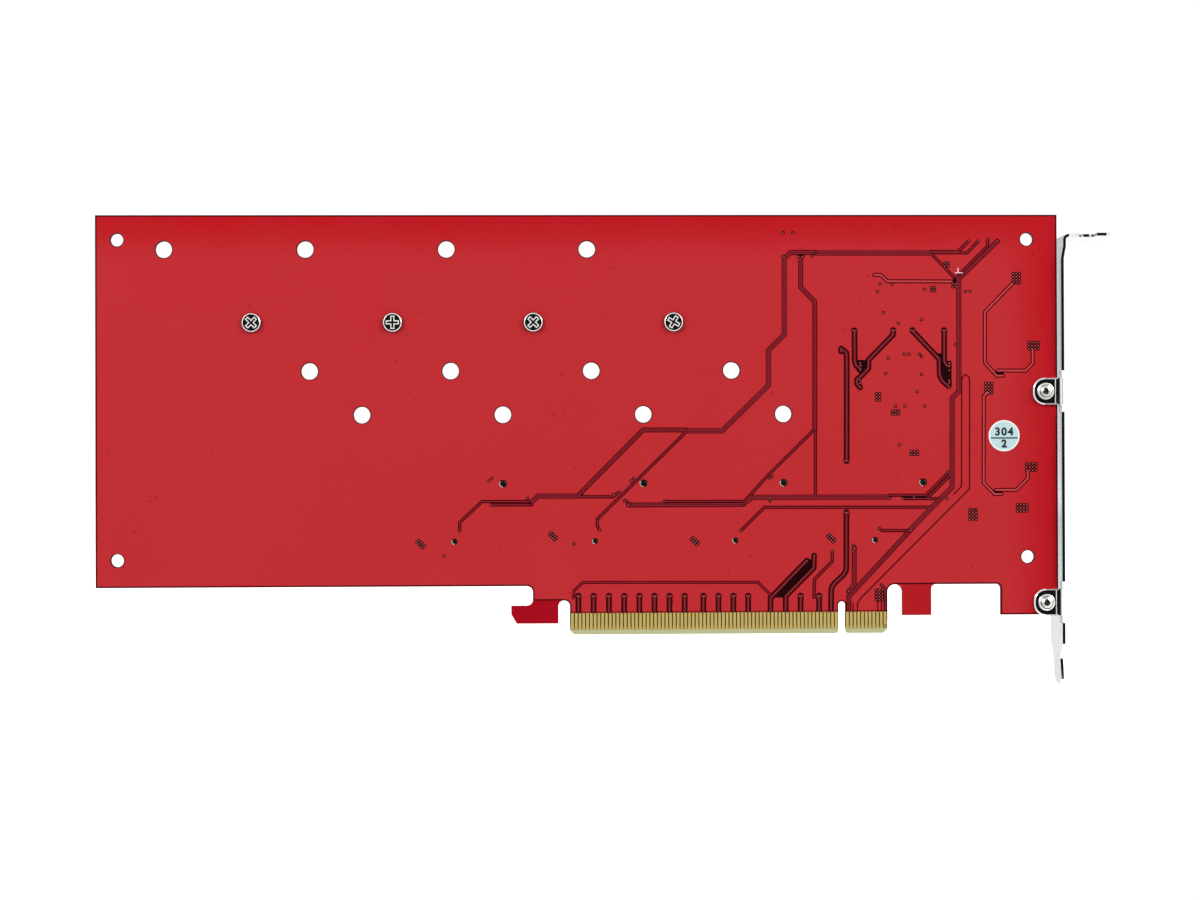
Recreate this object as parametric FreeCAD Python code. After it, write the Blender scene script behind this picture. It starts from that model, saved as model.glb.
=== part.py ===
import FreeCAD, Part
import math
import os

from FreeCAD import Placement, Rotation, Vector

# Full-height PCI Express x16 card for four M.2 drives.
# Millimetres. X runs along the card towards its bracket, Z is up from the edge contacts,
# and the component side faces +Y. The origin is the middle of the key slot in the card's
# edge, at the bottom of the contacts and half way through the board.

# Board
board_height = 111.15
board_thickness = 1.6
board_right_x = 57.8
board_bottom_z = 12.9
board_left_margin = 18.0
fit_gap = 0.05

# How far a cutter runs past what it cuts
cutter_reach = 1.0

# Edge contacts
contact_spacing = 1.0
contact_width = 0.7
contact_thickness = 0.05
contact_top_z = 5.65
short_contact_cut = 1.1
first_contact = 1.5
contacts_long_side = 71
contacts_short_side = 11
contact_end_margin = 0.65
short_pins_rear = (1,)
short_pins_front = (17, 31, 48, 81)
bevel_height = 1.3
bevel_depth = 0.45
edge_corner = 1.1
key_corner = 0.5

# Slots, hook and tabs along the bottom edge
key_width = 1.9
key_top_z = 8.45
hook_slot_width = 3.05
hook_slot_top_z = 9.05
hook_length = 12.47
hook_neck = 6.73
hook_top_z = 7.7
hook_bottom_z = 2.97
hook_tip_width = 1.47
hook_tip_height = 2.45
hook_corner_radius = 1.6
tab_slot_width = 3.95
tab_width = 7.77
tab_bottom_z = 4.7
tab_gap_width = 18.53
tab_gap_radius = 1.2

# Corner holes of the board
corner_hole_diameter = 3.4
corner_hole_right_margin = 8.1
corner_hole_left_margin = 5.71
corner_hole_top_margin = 6.55
corner_hole_bottom_margin = 7.2

# Drive places
drive_count = 4
drive_pitch = 37.18
drive_angle = 40.1
open_drive_lengths = (110, 60, 42)
screwed_drive_length = 80
drive_hole_diameter = 4.4
long_drive_hole_inset_z = 9.09
last_socket_x = 15.39
module_thickness = 0.8
module_clearance = 2.45

# Drive sockets
peg_to_module_end = 1.8
peg_half_spacing = 10.0
large_peg_hole_diameter = 1.6
small_peg_hole_diameter = 1.1
socket_width = 21.9
socket_depth = 8.6
socket_height = 4.2
socket_front_to_peg = 3.6
socket_side_wall = 0.95
mouth_gap = 0.25
mouth_end_gap = 0.3
upper_jaw_setback = 2.0
jaw_chamfer = 0.5
key_rib_width = 1.0
key_rib_offset = 6.125
anchor_inset = 1.0
anchor_length = 3.0
anchor_height = 1.3
anchor_thickness = 0.2
anchor_foot = 0.9

# Flat sides of the small round pieces, which are too small to need a true circle
head_sides = 16
shank_sides = 8
peg_sides = 12

# Standoffs and their screws
standoff_flats = 5.5
standoff_boss_short = 0.15
standoff_bore_diameter = 2.5
thread_gap = 0.02
flat_head_diameter = 4.9
flat_head_height = 0.8
rear_screw_length = 2.2
drive_screw_length = 1.4
recess_span = 2.9
recess_arm = 0.9
recess_depth = 0.45
rear_recess_turns = (45.0, 0.0, 45.0, 30.0)

# Bracket
sheet = 0.86
bracket_gap = 0.8
bracket_width = 18.42
bracket_near_edge = 1.6
bracket_top_z = 106.0
bracket_overall_height = 120.02
upper_offset = 0.6
upper_offset_low_z = 99.4
upper_offset_high_z = 102.9
fold_radius = 0.8
top_tab_length = 11.43
top_tab_overhang = 3.17
top_tab_far_cut = 2.2
top_tab_corner = 1.2
notch_width = 4.42
notch_centre = 5.35
notch_reach = 2.22
tongue_width = 10.19
tongue_taper_height = 10.92
tongue_kick = 0.4
tongue_kick_height = 7.52
tongue_corner = 1.3
ear_height = 7.1
ear_centres_z = (64.1, 7.95)
ear_hole_inset = 4.1
ear_hole_diameter = 3.2
ear_end = 3.25
ear_corner_radius = 3.1
ear_bend_radius = 0.75
relief_height = 1.9
relief_depth = 1.5
relief_radius = 0.6

# Vent holes of the bracket
vent_flats = 4.4
vent_pitch = 5.8
vent_columns = 2
vent_rows = 10
vent_low_z = 24.0
vent_inset = 4.0

# Bracket screws and nuts
pan_head_diameter = 4.45
pan_head_height = 1.6
pan_head_rim = 0.7
pan_head_crown_diameter = 3.0
pan_recess_span = 2.4
pan_recess_arm = 0.75
pan_recess_depth = 0.9
pan_recess_turns = (20.0, 25.0)
bracket_screw_diameter = 2.9
bracket_screw_length = 5.6
nut_flats = 5.5
nut_height = 2.0

# Power supply parts on the component side
supply_inset_x = 12.8
supply_centres_z = (74.0, 42.5)
regulator_size = (5.0, 4.0, 1.0)
inductor_size = (7.2, 7.2, 4.0)
inductor_corner = 1.2
inductor_offset_z = 10.5
supply_capacitor_size = (3.2, 1.6, 1.6)
supply_capacitor_offset_x = 7.6
supply_capacitor_pitch = 2.5
supply_capacitor_rows = 3

# Parts beside each socket
bulk_capacitor_size = (7.3, 4.3, 2.8)
bulk_capacitor_chamfer = 0.6
bulk_capacitor_offset_x = 12.0
bulk_capacitor_offset_z = -11.4
socket_capacitor_size = (0.8, 1.6, 0.8)
socket_capacitor_gap = 2.6
socket_capacitor_pitch = 4.0
socket_capacitor_count = 4

# Clock parts
clock_centre_x = 16.3
clock_centre_z = 76.5
clock_size = 5.0
clock_height = 0.9
clock_chamfer = 0.3
small_part_size = (1.0, 0.5, 0.5)
small_part_ring = 4.3
small_part_pitch = 1.4
small_parts_a_side = 4

# Status lights
led_size = (1.6, 0.8, 0.7)
led_resistor_size = (1.6, 0.8, 0.45)
led_count = 4
led_pitch = 4.0
led_inset_x = 16.0
led_inset_z = 4.6
led_resistor_drop = 2.2

# Sticker
sticker_diameter = 8.3
sticker_thickness = 0.1
sticker_inset_x = 14.3
sticker_z = 52.3

# Places worked out from the sizes above
face_y = board_thickness / 2
long_edge_x = -(first_contact + (contacts_long_side - 1) * contact_spacing + contact_end_margin)
short_edge_x = first_contact + (contacts_short_side - 1) * contact_spacing + contact_end_margin
drive_turn = math.radians(drive_angle)
into_socket = Vector(math.cos(drive_turn), 0, -math.sin(drive_turn))
across_socket = Vector(-math.sin(drive_turn), 0, -math.cos(drive_turn))
long_reach = max(open_drive_lengths) - peg_to_module_end
socket_z = board_height - long_drive_hole_inset_z - long_reach * math.sin(drive_turn)
first_socket_x = last_socket_x - (drive_count - 1) * drive_pitch
first_hole_x = first_socket_x - long_reach * math.cos(drive_turn)
board_left_x = first_hole_x - board_left_margin
bracket_inner_x = board_right_x + bracket_gap
bracket_outer_x = bracket_inner_x + sheet
bracket_near_y = -face_y - bracket_near_edge
bracket_far_y = bracket_near_y + bracket_width
ear_hole_x = bracket_inner_x - ear_hole_inset
tongue_tip_z = bracket_top_z - bracket_overall_height
tongue_taper_top_z = tongue_tip_z + tongue_taper_height
peg_holes = ((-1, large_peg_hole_diameter), (1, small_peg_hole_diameter))


def rounded_wire(corners, to_space):
    """Closed wire through corners (u, v, radius), with an arc at each corner that has a radius."""
    ends = []
    count = len(corners)
    for index, (u, v, radius) in enumerate(corners):
        here = Vector(u, v, 0)
        before = Vector(corners[index - 1][0], corners[index - 1][1], 0) - here
        after = Vector(corners[(index + 1) % count][0], corners[(index + 1) % count][1], 0) - here
        before.normalize()
        after.normalize()
        if radius == 0:
            ends.append((here, here, here))
            continue
        half = before.getAngle(after) / 2
        run = radius / math.tan(half)
        middle = before + after
        middle.normalize()
        crown = here + middle * (radius / math.sin(half) - radius)
        ends.append((here + before * run, crown, here + after * run))
    edges = []
    for index, (start, crown, stop) in enumerate(ends):
        if (stop - start).Length > 1e-7:
            edges.append(Part.Arc(to_space(start), to_space(crown), to_space(stop)).toShape())
        following = ends[(index + 1) % count][0]
        if (following - stop).Length > 1e-6:
            edges.append(Part.LineSegment(to_space(stop), to_space(following)).toShape())
    return Part.Wire(edges)


def plate_xz(corners, low_y, high_y):
    """Plate with its outline in X and Z, between two Y planes."""
    wire = rounded_wire(corners, lambda p: Vector(p.x, low_y, p.y))
    return Part.Face(wire).extrude(Vector(0, high_y - low_y, 0))


def plate_yz(corners, low_x, high_x):
    """Plate with its outline in Y and Z, between two X planes."""
    wire = rounded_wire(corners, lambda p: Vector(low_x, p.x, p.y))
    return Part.Face(wire).extrude(Vector(high_x - low_x, 0, 0))


def plate_xy(corners, low_z, high_z):
    """Plate with its outline in X and Y, between two Z planes."""
    wire = rounded_wire(corners, lambda p: Vector(p.x, p.y, low_z))
    return Part.Face(wire).extrude(Vector(0, 0, high_z - low_z))


def box(low, high):
    """Box between two corners."""
    size = high - low
    return Part.makeBox(size.x, size.y, size.z, low)


def hole_through_board(x, z, diameter):
    """Cutter for a round hole through the board."""
    start = Vector(x, -board_thickness, z)
    return Part.makeCylinder(diameter / 2, 2 * board_thickness, start, Vector(0, 1, 0))


def filled_hole_through_board(x, z, diameter, sides):
    """Cutter for a hole that another piece fills, with the same flat sides as that piece."""
    bar = faceted_bar(diameter / 2, -board_thickness, board_thickness, sides)
    return pointing(bar, x, 0, z, Vector(0, 1, 0))


def polygon_wire(radius, height, sides):
    """Regular polygon round Z at one height, with its corners at the radius."""
    steps = [2 * math.pi * side / sides for side in range(sides)]
    points = [Vector(radius * math.cos(step), radius * math.sin(step), height) for step in steps]
    return Part.makePolygon(points + points[:1])


def faceted_bar(radius, low, high, sides):
    """Straight bar with flat sides round Z."""
    return Part.Face(polygon_wire(radius, low, sides)).extrude(Vector(0, 0, high - low))


def faceted_taper(low_radius, high_radius, low, high, sides):
    """Tapered bar with flat sides round Z."""
    low_end = polygon_wire(low_radius, low, sides)
    high_end = polygon_wire(high_radius, high, sides)
    faces = [Part.Face(low_end), Part.Face(high_end)]
    for under, over in zip(low_end.Edges, high_end.Edges):
        corners = [under.firstVertex().Point, under.lastVertex().Point,
                   over.lastVertex().Point, over.firstVertex().Point]
        faces.append(Part.Face(Part.makePolygon(corners + corners[:1])))
    return Part.makeSolid(Part.makeShell(faces))


def hexagon_radius(flats):
    return flats / math.sqrt(3)


def group(solids):
    """Separate solids that share one node."""
    return Part.makeCompound(solids)


def socket_centre_x(index):
    return first_socket_x + index * drive_pitch


def drive_hole(index, length):
    """Centre (x, z) of the screw place for a drive of one length."""
    reach = length - peg_to_module_end
    return (socket_centre_x(index) - reach * math.cos(drive_turn),
            socket_z + reach * math.sin(drive_turn))


def peg_place(index, side):
    """Centre (x, z) of a locating peg, side -1 for the large one and 1 for the small one."""
    step = across_socket * (side * peg_half_spacing)
    return socket_centre_x(index) + step.x, socket_z + step.z


def in_socket_frame(shape, index):
    """Place a shape made with X into the socket, Y across it and Z up from the board."""
    turn = Rotation(into_socket, across_socket, Vector(0, 1, 0), "ZXY")
    shape.Placement = Placement(Vector(socket_centre_x(index), face_y, socket_z), turn)
    return shape


def board_corners():
    """Outline of the board (x, z, corner radius), down its far end and along its lower edge."""
    slot_left = long_edge_x - hook_slot_width
    hook_left = slot_left - hook_length
    neck_left = slot_left - hook_neck
    slot_radius = hook_slot_width / 2
    key_half = key_width / 2
    tab_left = short_edge_x + tab_slot_width
    tab_right = tab_left + tab_width
    foot_left = tab_right + tab_gap_width
    tab_slot_radius = tab_slot_width / 2
    return [
        (board_left_x, board_height, 0),
        (board_left_x, board_bottom_z, 0),
        (neck_left, board_bottom_z, hook_corner_radius),
        (neck_left, hook_top_z, hook_corner_radius),
        (hook_left, hook_top_z, 0),
        (hook_left, hook_bottom_z + hook_tip_height, 0),
        (hook_left + hook_tip_width, hook_bottom_z, 0),
        (slot_left, hook_bottom_z, 0),
        (slot_left, hook_slot_top_z, slot_radius),
        (long_edge_x, hook_slot_top_z, slot_radius),
        (long_edge_x, edge_corner, 0),
        (long_edge_x + edge_corner, 0, 0),
        (-key_half - key_corner, 0, 0),
        (-key_half, key_corner, 0),
        (-key_half, key_top_z, key_half),
        (key_half, key_top_z, key_half),
        (key_half, key_corner, 0),
        (key_half + key_corner, 0, 0),
        (short_edge_x - edge_corner, 0, 0),
        (short_edge_x, edge_corner, 0),
        (short_edge_x, board_bottom_z, tab_slot_radius),
        (tab_left, board_bottom_z, tab_slot_radius),
        (tab_left, tab_bottom_z, 0),
        (tab_right, tab_bottom_z, 0),
        (tab_right, board_bottom_z, tab_gap_radius),
        (foot_left, board_bottom_z, tab_gap_radius),
        (foot_left, tab_bottom_z, 0),
        (board_right_x, tab_bottom_z, 0),
        (board_right_x, board_height, 0),
    ]


def corner_hole_places():
    """Centres (x, z) of the four corner holes."""
    left = board_left_x + corner_hole_left_margin
    right = board_right_x - corner_hole_right_margin
    bottom = board_bottom_z + corner_hole_bottom_margin
    top = board_height - corner_hole_top_margin
    return [(left, bottom), (left, top), (right, bottom), (right, top)]


def bevel_cutter(side):
    """Wedge that bevels the contact edge on one face of the board."""
    face = side * face_y
    points = [Vector(long_edge_x, face, bevel_height),
              Vector(long_edge_x, face - side * bevel_depth, 0),
              Vector(long_edge_x, face, 0)]
    wedge = Part.Face(Part.makePolygon(points + points[:1]))
    return wedge.extrude(Vector(short_edge_x - long_edge_x, 0, 0))


def pcb():
    board = plate_xz(board_corners(), -face_y, face_y)
    cutters = [bevel_cutter(-1), bevel_cutter(1)]
    for x, z in corner_hole_places():
        cutters.append(hole_through_board(x, z, corner_hole_diameter))
    for z in ear_centres_z:
        cutters.append(filled_hole_through_board(ear_hole_x, z, ear_hole_diameter, head_sides))
    for index in range(drive_count):
        for length in open_drive_lengths:
            cutters.append(hole_through_board(*drive_hole(index, length), drive_hole_diameter))
        screwed_place = drive_hole(index, screwed_drive_length)
        cutters.append(filled_hole_through_board(*screwed_place, drive_hole_diameter, head_sides))
        for side, diameter in peg_holes:
            cutters.append(filled_hole_through_board(*peg_place(index, side), diameter, peg_sides))
    return board.cut(cutters)


def contact_x(pin):
    """Middle of a contact. Pin 1 is nearest the bracket."""
    if pin <= contacts_short_side:
        return first_contact + (contacts_short_side - pin) * contact_spacing
    return -first_contact - (pin - contacts_short_side - 1) * contact_spacing


def edge_contacts(side, short_pins):
    """Contacts on one face: side -1 is the solder side and 1 is the component side."""
    pads = []
    inner = side * face_y
    outer = side * (face_y + contact_thickness)
    for pin in range(1, contacts_short_side + contacts_long_side + 1):
        low_z = bevel_height
        if pin in short_pins:
            low_z += short_contact_cut
        x = contact_x(pin)
        pads.append(box(Vector(x - contact_width / 2, min(inner, outer), low_z),
                        Vector(x + contact_width / 2, max(inner, outer), contact_top_z)))
    return group(pads)


def sheet_corners(path, thickness, radius):
    """Corners of a folded sheet's section. The path runs along one face, the sheet lies to its right."""
    near = []
    far = []
    for index, (u, v) in enumerate(path):
        here = Vector(u, v, 0)
        arriving = here - Vector(*path[index - 1], 0) if index else None
        leaving = Vector(*path[index + 1], 0) - here if index + 1 < len(path) else None
        arriving = arriving or leaving
        leaving = leaving or arriving
        arriving.normalize()
        leaving.normalize()
        right = Vector(arriving.y + leaving.y, -arriving.x - leaving.x, 0)
        right.normalize()
        half_turn = arriving.getAngle(leaving) / 2
        offset = here + right * (thickness / math.cos(half_turn))
        to_right = arriving.cross(leaving).z < -1e-9
        to_left = arriving.cross(leaving).z > 1e-9
        near.append((u, v, radius + thickness if to_right else radius if to_left else 0))
        far.append((offset.x, offset.y, radius if to_right else radius + thickness if to_left else 0))
    return near + far[::-1]


def bracket_sheet():
    """Blade, tongue and top tab as one folded strip, before its outline is trimmed."""
    upper_x = bracket_inner_x + upper_offset
    tab_end_x = upper_x + sheet + top_tab_length
    path = [(bracket_inner_x + tongue_kick, tongue_tip_z),
            (bracket_inner_x, tongue_tip_z + tongue_kick_height),
            (bracket_inner_x, upper_offset_low_z),
            (upper_x, upper_offset_high_z),
            (upper_x, bracket_top_z),
            (tab_end_x, bracket_top_z)]
    corners = sheet_corners(path, sheet, fold_radius)
    return plate_xz(corners, bracket_near_y - top_tab_overhang, bracket_far_y)


def blade_outline():
    """Front outline of the blade and tongue, with room above for the whole top tab."""
    middle = (bracket_near_y + bracket_far_y) / 2
    near_tongue = middle - tongue_width / 2
    far_tongue = middle + tongue_width / 2
    taper_low_z = tongue_taper_top_z - (bracket_width - tongue_width) / 2
    tab_low_z = bracket_top_z - sheet - fold_radius
    above = bracket_top_z + sheet
    corners = [(near_tongue + tongue_corner, tongue_tip_z, 0),
               (far_tongue - tongue_corner, tongue_tip_z, 0),
               (far_tongue, tongue_tip_z + tongue_corner, 0),
               (far_tongue, taper_low_z, 0),
               (bracket_far_y, tongue_taper_top_z, 0),
               (bracket_far_y, above, 0),
               (bracket_near_y - top_tab_overhang, above, 0),
               (bracket_near_y - top_tab_overhang, tab_low_z, 0),
               (bracket_near_y, tab_low_z, 0),
               (bracket_near_y, tongue_taper_top_z, 0),
               (near_tongue, taper_low_z, 0),
               (near_tongue, tongue_tip_z + tongue_corner, 0)]
    return plate_yz(corners, board_right_x, bracket_outer_x + upper_offset + 2 * top_tab_length)


def top_tab_cutters():
    """What is cut from the top tab: the sloping shoulder, the far side and the screw notch."""
    low_z = bracket_top_z - sheet - fold_radius
    high_z = bracket_top_z + sheet
    start_x = bracket_outer_x + upper_offset
    end_x = start_x + top_tab_length
    near_y = bracket_near_y - top_tab_overhang
    beyond = top_tab_length
    notch_x = start_x + notch_centre
    shoulder_x = start_x + fold_radius
    radius = notch_width / 2
    notch_y = near_y + notch_reach
    shoulder = plate_xy([(bracket_inner_x, near_y - beyond, 0),
                         (shoulder_x + top_tab_overhang, near_y - beyond, 0),
                         (shoulder_x + top_tab_overhang, near_y, 0),
                         (shoulder_x, bracket_near_y, 0),
                         (bracket_inner_x, bracket_near_y, 0)], low_z, high_z)
    notch = plate_xy([(notch_x - radius, near_y - beyond, 0),
                      (notch_x + radius, near_y - beyond, 0),
                      (notch_x + radius, notch_y + radius, radius),
                      (notch_x - radius, notch_y + radius, radius)], low_z, high_z)
    far_y = bracket_far_y - top_tab_far_cut
    far = plate_xy([(shoulder_x, far_y + top_tab_far_cut, 0),
                    (shoulder_x + top_tab_far_cut, far_y, 0),
                    (end_x - top_tab_corner, far_y, 0),
                    (end_x, far_y - top_tab_corner, 0),
                    (end_x + beyond, far_y - top_tab_corner, 0),
                    (end_x + beyond, bracket_far_y + beyond, 0),
                    (shoulder_x, bracket_far_y + beyond, 0)], low_z, high_z)
    corner = plate_xy([(end_x - top_tab_corner, near_y, 0),
                       (end_x, near_y + top_tab_corner, 0),
                       (end_x + beyond, near_y + top_tab_corner, 0),
                       (end_x + beyond, near_y - beyond, 0),
                       (end_x - top_tab_corner, near_y - beyond, 0)], low_z, high_z)
    return [shoulder, notch, far, corner]


def vent_cutters():
    """Hexagonal vent holes in staggered columns."""
    cutters = []
    column_step = vent_pitch * math.sin(math.radians(60))
    first_y = bracket_far_y - vent_inset - (vent_columns - 1) * column_step
    radius = hexagon_radius(vent_flats)
    for column in range(vent_columns):
        for row in range(vent_rows):
            y = first_y + column * column_step
            z = vent_low_z + (row + (column % 2) / 2) * vent_pitch
            corners = [(y + radius * math.cos(math.radians(60 * side)),
                        z + radius * math.sin(math.radians(60 * side)), 0) for side in range(6)]
            cutters.append(plate_yz(corners, board_right_x, bracket_outer_x + sheet))
    return cutters


def ear_relief(centre_z):
    """Cut-back of the blade's edge round one ear."""
    half = ear_height / 2 + relief_height
    root_y = -face_y + ear_bend_radius + relief_depth
    outside_y = bracket_near_y - sheet
    corners = [(outside_y, centre_z - half, 0),
               (root_y, centre_z - half, relief_radius),
               (root_y, centre_z + half, relief_radius),
               (outside_y, centre_z + half, 0)]
    return plate_yz(corners, board_right_x, bracket_outer_x + sheet)


def ear(centre_z):
    """One ear, folded from the blade and lying on the solder side of the board."""
    root_y = -face_y + ear_bend_radius + relief_depth + sheet
    end_x = ear_hole_x - ear_end
    low_z = centre_z - ear_height / 2
    high_z = centre_z + ear_height / 2
    path = [(end_x, -face_y), (bracket_inner_x, -face_y), (bracket_inner_x, root_y)]
    folded = plate_xy(sheet_corners(path, sheet, ear_bend_radius), low_z, high_z)
    outline = plate_xz([(end_x, low_z, ear_corner_radius),
                        (bracket_outer_x + sheet, low_z, 0),
                        (bracket_outer_x + sheet, high_z, 0),
                        (end_x, high_z, ear_corner_radius)], -face_y - 2 * sheet, root_y + sheet)
    hole = filled_hole_through_board(ear_hole_x, centre_z, ear_hole_diameter, head_sides)
    hole.translate(Vector(0, -board_thickness, 0))
    return folded.common(outline).cut(hole)


def bracket():
    blade = bracket_sheet().common(blade_outline())
    blade = blade.cut(top_tab_cutters() + vent_cutters() + [ear_relief(z) for z in ear_centres_z])
    return blade.fuse([ear(z) for z in ear_centres_z]).removeSplitter()


def cross_recess(span, arm, depth, turn):
    """Cutter for a cross recess that goes up from Z = 0."""
    long_bar = box(Vector(-span / 2, -arm / 2, 0), Vector(span / 2, arm / 2, depth))
    short_bar = box(Vector(-arm / 2, -span / 2, 0), Vector(arm / 2, span / 2, depth))
    cross = long_bar.fuse(short_bar)
    cross.rotate(Vector(0, 0, 0), Vector(0, 0, 1), turn)
    return cross


def flat_screw(length):
    """Thin flat head screw. The head's underside is at Z = 0 and the shank points up."""
    head = faceted_bar(flat_head_diameter / 2, -flat_head_height, 0, head_sides)
    shank = faceted_bar(standoff_bore_diameter / 2 - thread_gap, 0, length, shank_sides)
    return head.fuse(shank)


def crossed_flat_screw(length, turn):
    recess = cross_recess(recess_span, recess_arm, recess_depth, turn)
    recess.translate(Vector(0, 0, -flat_head_height))
    return flat_screw(length).cut(recess)


def pan_screw(length, turn):
    """Pan head screw with a tapered crown. The head's underside is at Z = 0."""
    head = pan_head_diameter / 2
    top = -pan_head_height
    rim = faceted_bar(head, -pan_head_rim, 0, head_sides)
    crown = faceted_taper(pan_head_crown_diameter / 2, head, top, -pan_head_rim, head_sides)
    shank = faceted_bar(bracket_screw_diameter / 2, 0, length, shank_sides)
    recess = cross_recess(pan_recess_span, pan_recess_arm, pan_recess_depth, turn)
    recess.translate(Vector(0, 0, top))
    return crown.fuse([rim, shank]).removeSplitter().cut(recess)


def pointing(shape, x, y, z, direction):
    """Turn a shape made along Z so that it points along a direction, and place it."""
    shape.Placement = Placement(Vector(x, y, z), Rotation(Vector(0, 0, 1), direction))
    return shape


def standoff_screws():
    screws = []
    for index in range(drive_count):
        x, z = drive_hole(index, screwed_drive_length)
        turn = rear_recess_turns[index % len(rear_recess_turns)]
        screw = crossed_flat_screw(rear_screw_length, turn)
        screws.append(pointing(screw, x, -face_y, z, Vector(0, 1, 0)))
    return group(screws)


def drive_standoff():
    """Hexagonal standoff with a boss for the board's hole and a bore right through."""
    bore_top = module_clearance + cutter_reach
    bore = faceted_bar(standoff_bore_diameter / 2, -board_thickness, bore_top, shank_sides)
    boss_radius = drive_hole_diameter / 2 - fit_gap
    boss = faceted_bar(boss_radius, standoff_boss_short - board_thickness, 0, head_sides)
    body = faceted_bar(hexagon_radius(standoff_flats), 0, module_clearance, 6)
    return body.fuse(boss).cut(bore)


def drive_standoffs():
    standoffs = []
    for index in range(drive_count):
        x, z = drive_hole(index, screwed_drive_length)
        standoffs.append(pointing(drive_standoff(), x, face_y, z, Vector(0, 1, 0)))
    return group(standoffs)


def drive_screws():
    screws = []
    for index in range(drive_count):
        x, z = drive_hole(index, screwed_drive_length)
        screw = flat_screw(drive_screw_length)
        screws.append(pointing(screw, x, face_y + module_clearance, z, Vector(0, -1, 0)))
    return group(screws)


def bracket_screws():
    screws = []
    for turn, z in zip(pan_recess_turns, ear_centres_z):
        screw = pan_screw(bracket_screw_length, turn)
        screws.append(pointing(screw, ear_hole_x, -face_y - sheet, z, Vector(0, 1, 0)))
    return group(screws)


def bracket_nuts():
    nuts = []
    for z in ear_centres_z:
        blank = faceted_bar(hexagon_radius(nut_flats), 0, nut_height, 6)
        bore_radius = bracket_screw_diameter / 2 + thread_gap
        bore = faceted_bar(bore_radius, -cutter_reach, nut_height + cutter_reach, shank_sides)
        nuts.append(pointing(blank.cut(bore), ear_hole_x, face_y, z, Vector(0, 1, 0)))
    return group(nuts)


def bar_across_socket(section, half_width):
    """Bar across the socket with its section (along the drive, height above the board)."""
    points = [Vector(along, -half_width, height) for along, height in section]
    return Part.Face(Part.makePolygon(points + points[:1])).extrude(Vector(0, 2 * half_width, 0))


def socket_housing(index):
    """Moulded housing with its mouth towards the drive, the key rib and two locating pegs."""
    front = -socket_front_to_peg
    back = front + socket_depth
    outside = front - cutter_reach
    above = socket_height + cutter_reach
    mouth_low = module_clearance - mouth_gap
    mouth_high = module_clearance + module_thickness + mouth_gap
    mouth_end = peg_to_module_end + mouth_end_gap
    jaw = front + upper_jaw_setback
    half = socket_width / 2
    body = box(Vector(front, -half, 0), Vector(back, half, socket_height))
    mouth = bar_across_socket([(outside, mouth_low), (mouth_end, mouth_low), (mouth_end, mouth_high),
                               (jaw + jaw_chamfer, mouth_high), (jaw, mouth_high + jaw_chamfer),
                               (jaw, above), (outside, above)], half - socket_side_wall)
    cheek_slope = bar_across_socket([(outside, mouth_high), (front, mouth_high), (jaw, socket_height),
                                     (jaw, above), (outside, above)], half + cutter_reach)
    rib = box(Vector(jaw, key_rib_offset - key_rib_width / 2, mouth_low),
              Vector(mouth_end, key_rib_offset + key_rib_width / 2, mouth_high))
    peg_length = board_thickness - standoff_boss_short
    pegs = []
    for side, diameter in peg_holes:
        peg = faceted_bar(diameter / 2 - fit_gap, -peg_length, mouth_low, peg_sides)
        peg.translate(Vector(0, side * peg_half_spacing, 0))
        pegs.append(peg)
    housing = body.cut([mouth, cheek_slope]).fuse([rib] + pegs).removeSplitter()
    return in_socket_frame(housing, index)


def socket_anchors(index):
    """Two metal hold-downs, one at each end of the socket, each with a solder foot."""
    half = socket_width / 2
    back = socket_depth - socket_front_to_peg
    start = back - anchor_length - anchor_inset
    anchors = []
    for side in (-1, 1):
        section = [(0, 0), (anchor_foot, 0), (anchor_foot, anchor_thickness),
                   (anchor_thickness, anchor_thickness), (anchor_thickness, anchor_height),
                   (0, anchor_height)]
        points = [Vector(start, side * (half + out), height) for out, height in section]
        anchors.append(Part.Face(Part.makePolygon(points + points[:1])).extrude(Vector(anchor_length, 0, 0)))
    return in_socket_frame(group(anchors), index)


def chip(x, z, size):
    """Plain block (length X, length Z, height) that stands on the component side."""
    length, depth, height = size
    return box(Vector(x - length / 2, face_y, z - depth / 2),
               Vector(x + length / 2, face_y + height, z + depth / 2))


def bevelled_chip(x, z, size, chamfer):
    """Block with a bevel round its top, as a moulded package has."""
    block = chip(x, z, size)
    top = face_y + size[2]
    edges = [edge for edge in block.Edges if abs(edge.BoundBox.YMin - top) < 1e-6]
    return block.makeChamfer(chamfer, edges)


def supply_x():
    return board_right_x - supply_inset_x


def voltage_regulator(number):
    return chip(supply_x(), supply_centres_z[number], regulator_size)


def power_inductor(number):
    """Moulded inductor with cut corners."""
    length, depth, height = inductor_size
    x = supply_x()
    z = supply_centres_z[number] + inductor_offset_z
    cut = inductor_corner
    half_x = length / 2
    half_z = depth / 2
    corners = [(x - half_x, z - half_z + cut, 0), (x - half_x + cut, z - half_z, 0),
               (x + half_x - cut, z - half_z, 0), (x + half_x, z - half_z + cut, 0),
               (x + half_x, z + half_z - cut, 0), (x + half_x - cut, z + half_z, 0),
               (x - half_x + cut, z + half_z, 0), (x - half_x, z + half_z - cut, 0)]
    return plate_xz(corners, face_y, face_y + height)


def power_capacitors():
    blocks = []
    for centre_z in supply_centres_z:
        for side in (-1, 1):
            for row in range(supply_capacitor_rows):
                z = centre_z + (row - (supply_capacitor_rows - 1) / 2) * supply_capacitor_pitch
                x = supply_x() + side * supply_capacitor_offset_x
                blocks.append(chip(x, z, supply_capacitor_size))
    return group(blocks)


def bulk_capacitor(index):
    x = socket_centre_x(index) + bulk_capacitor_offset_x
    z = socket_z + bulk_capacitor_offset_z
    return bevelled_chip(x, z, bulk_capacitor_size, bulk_capacitor_chamfer)


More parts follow.
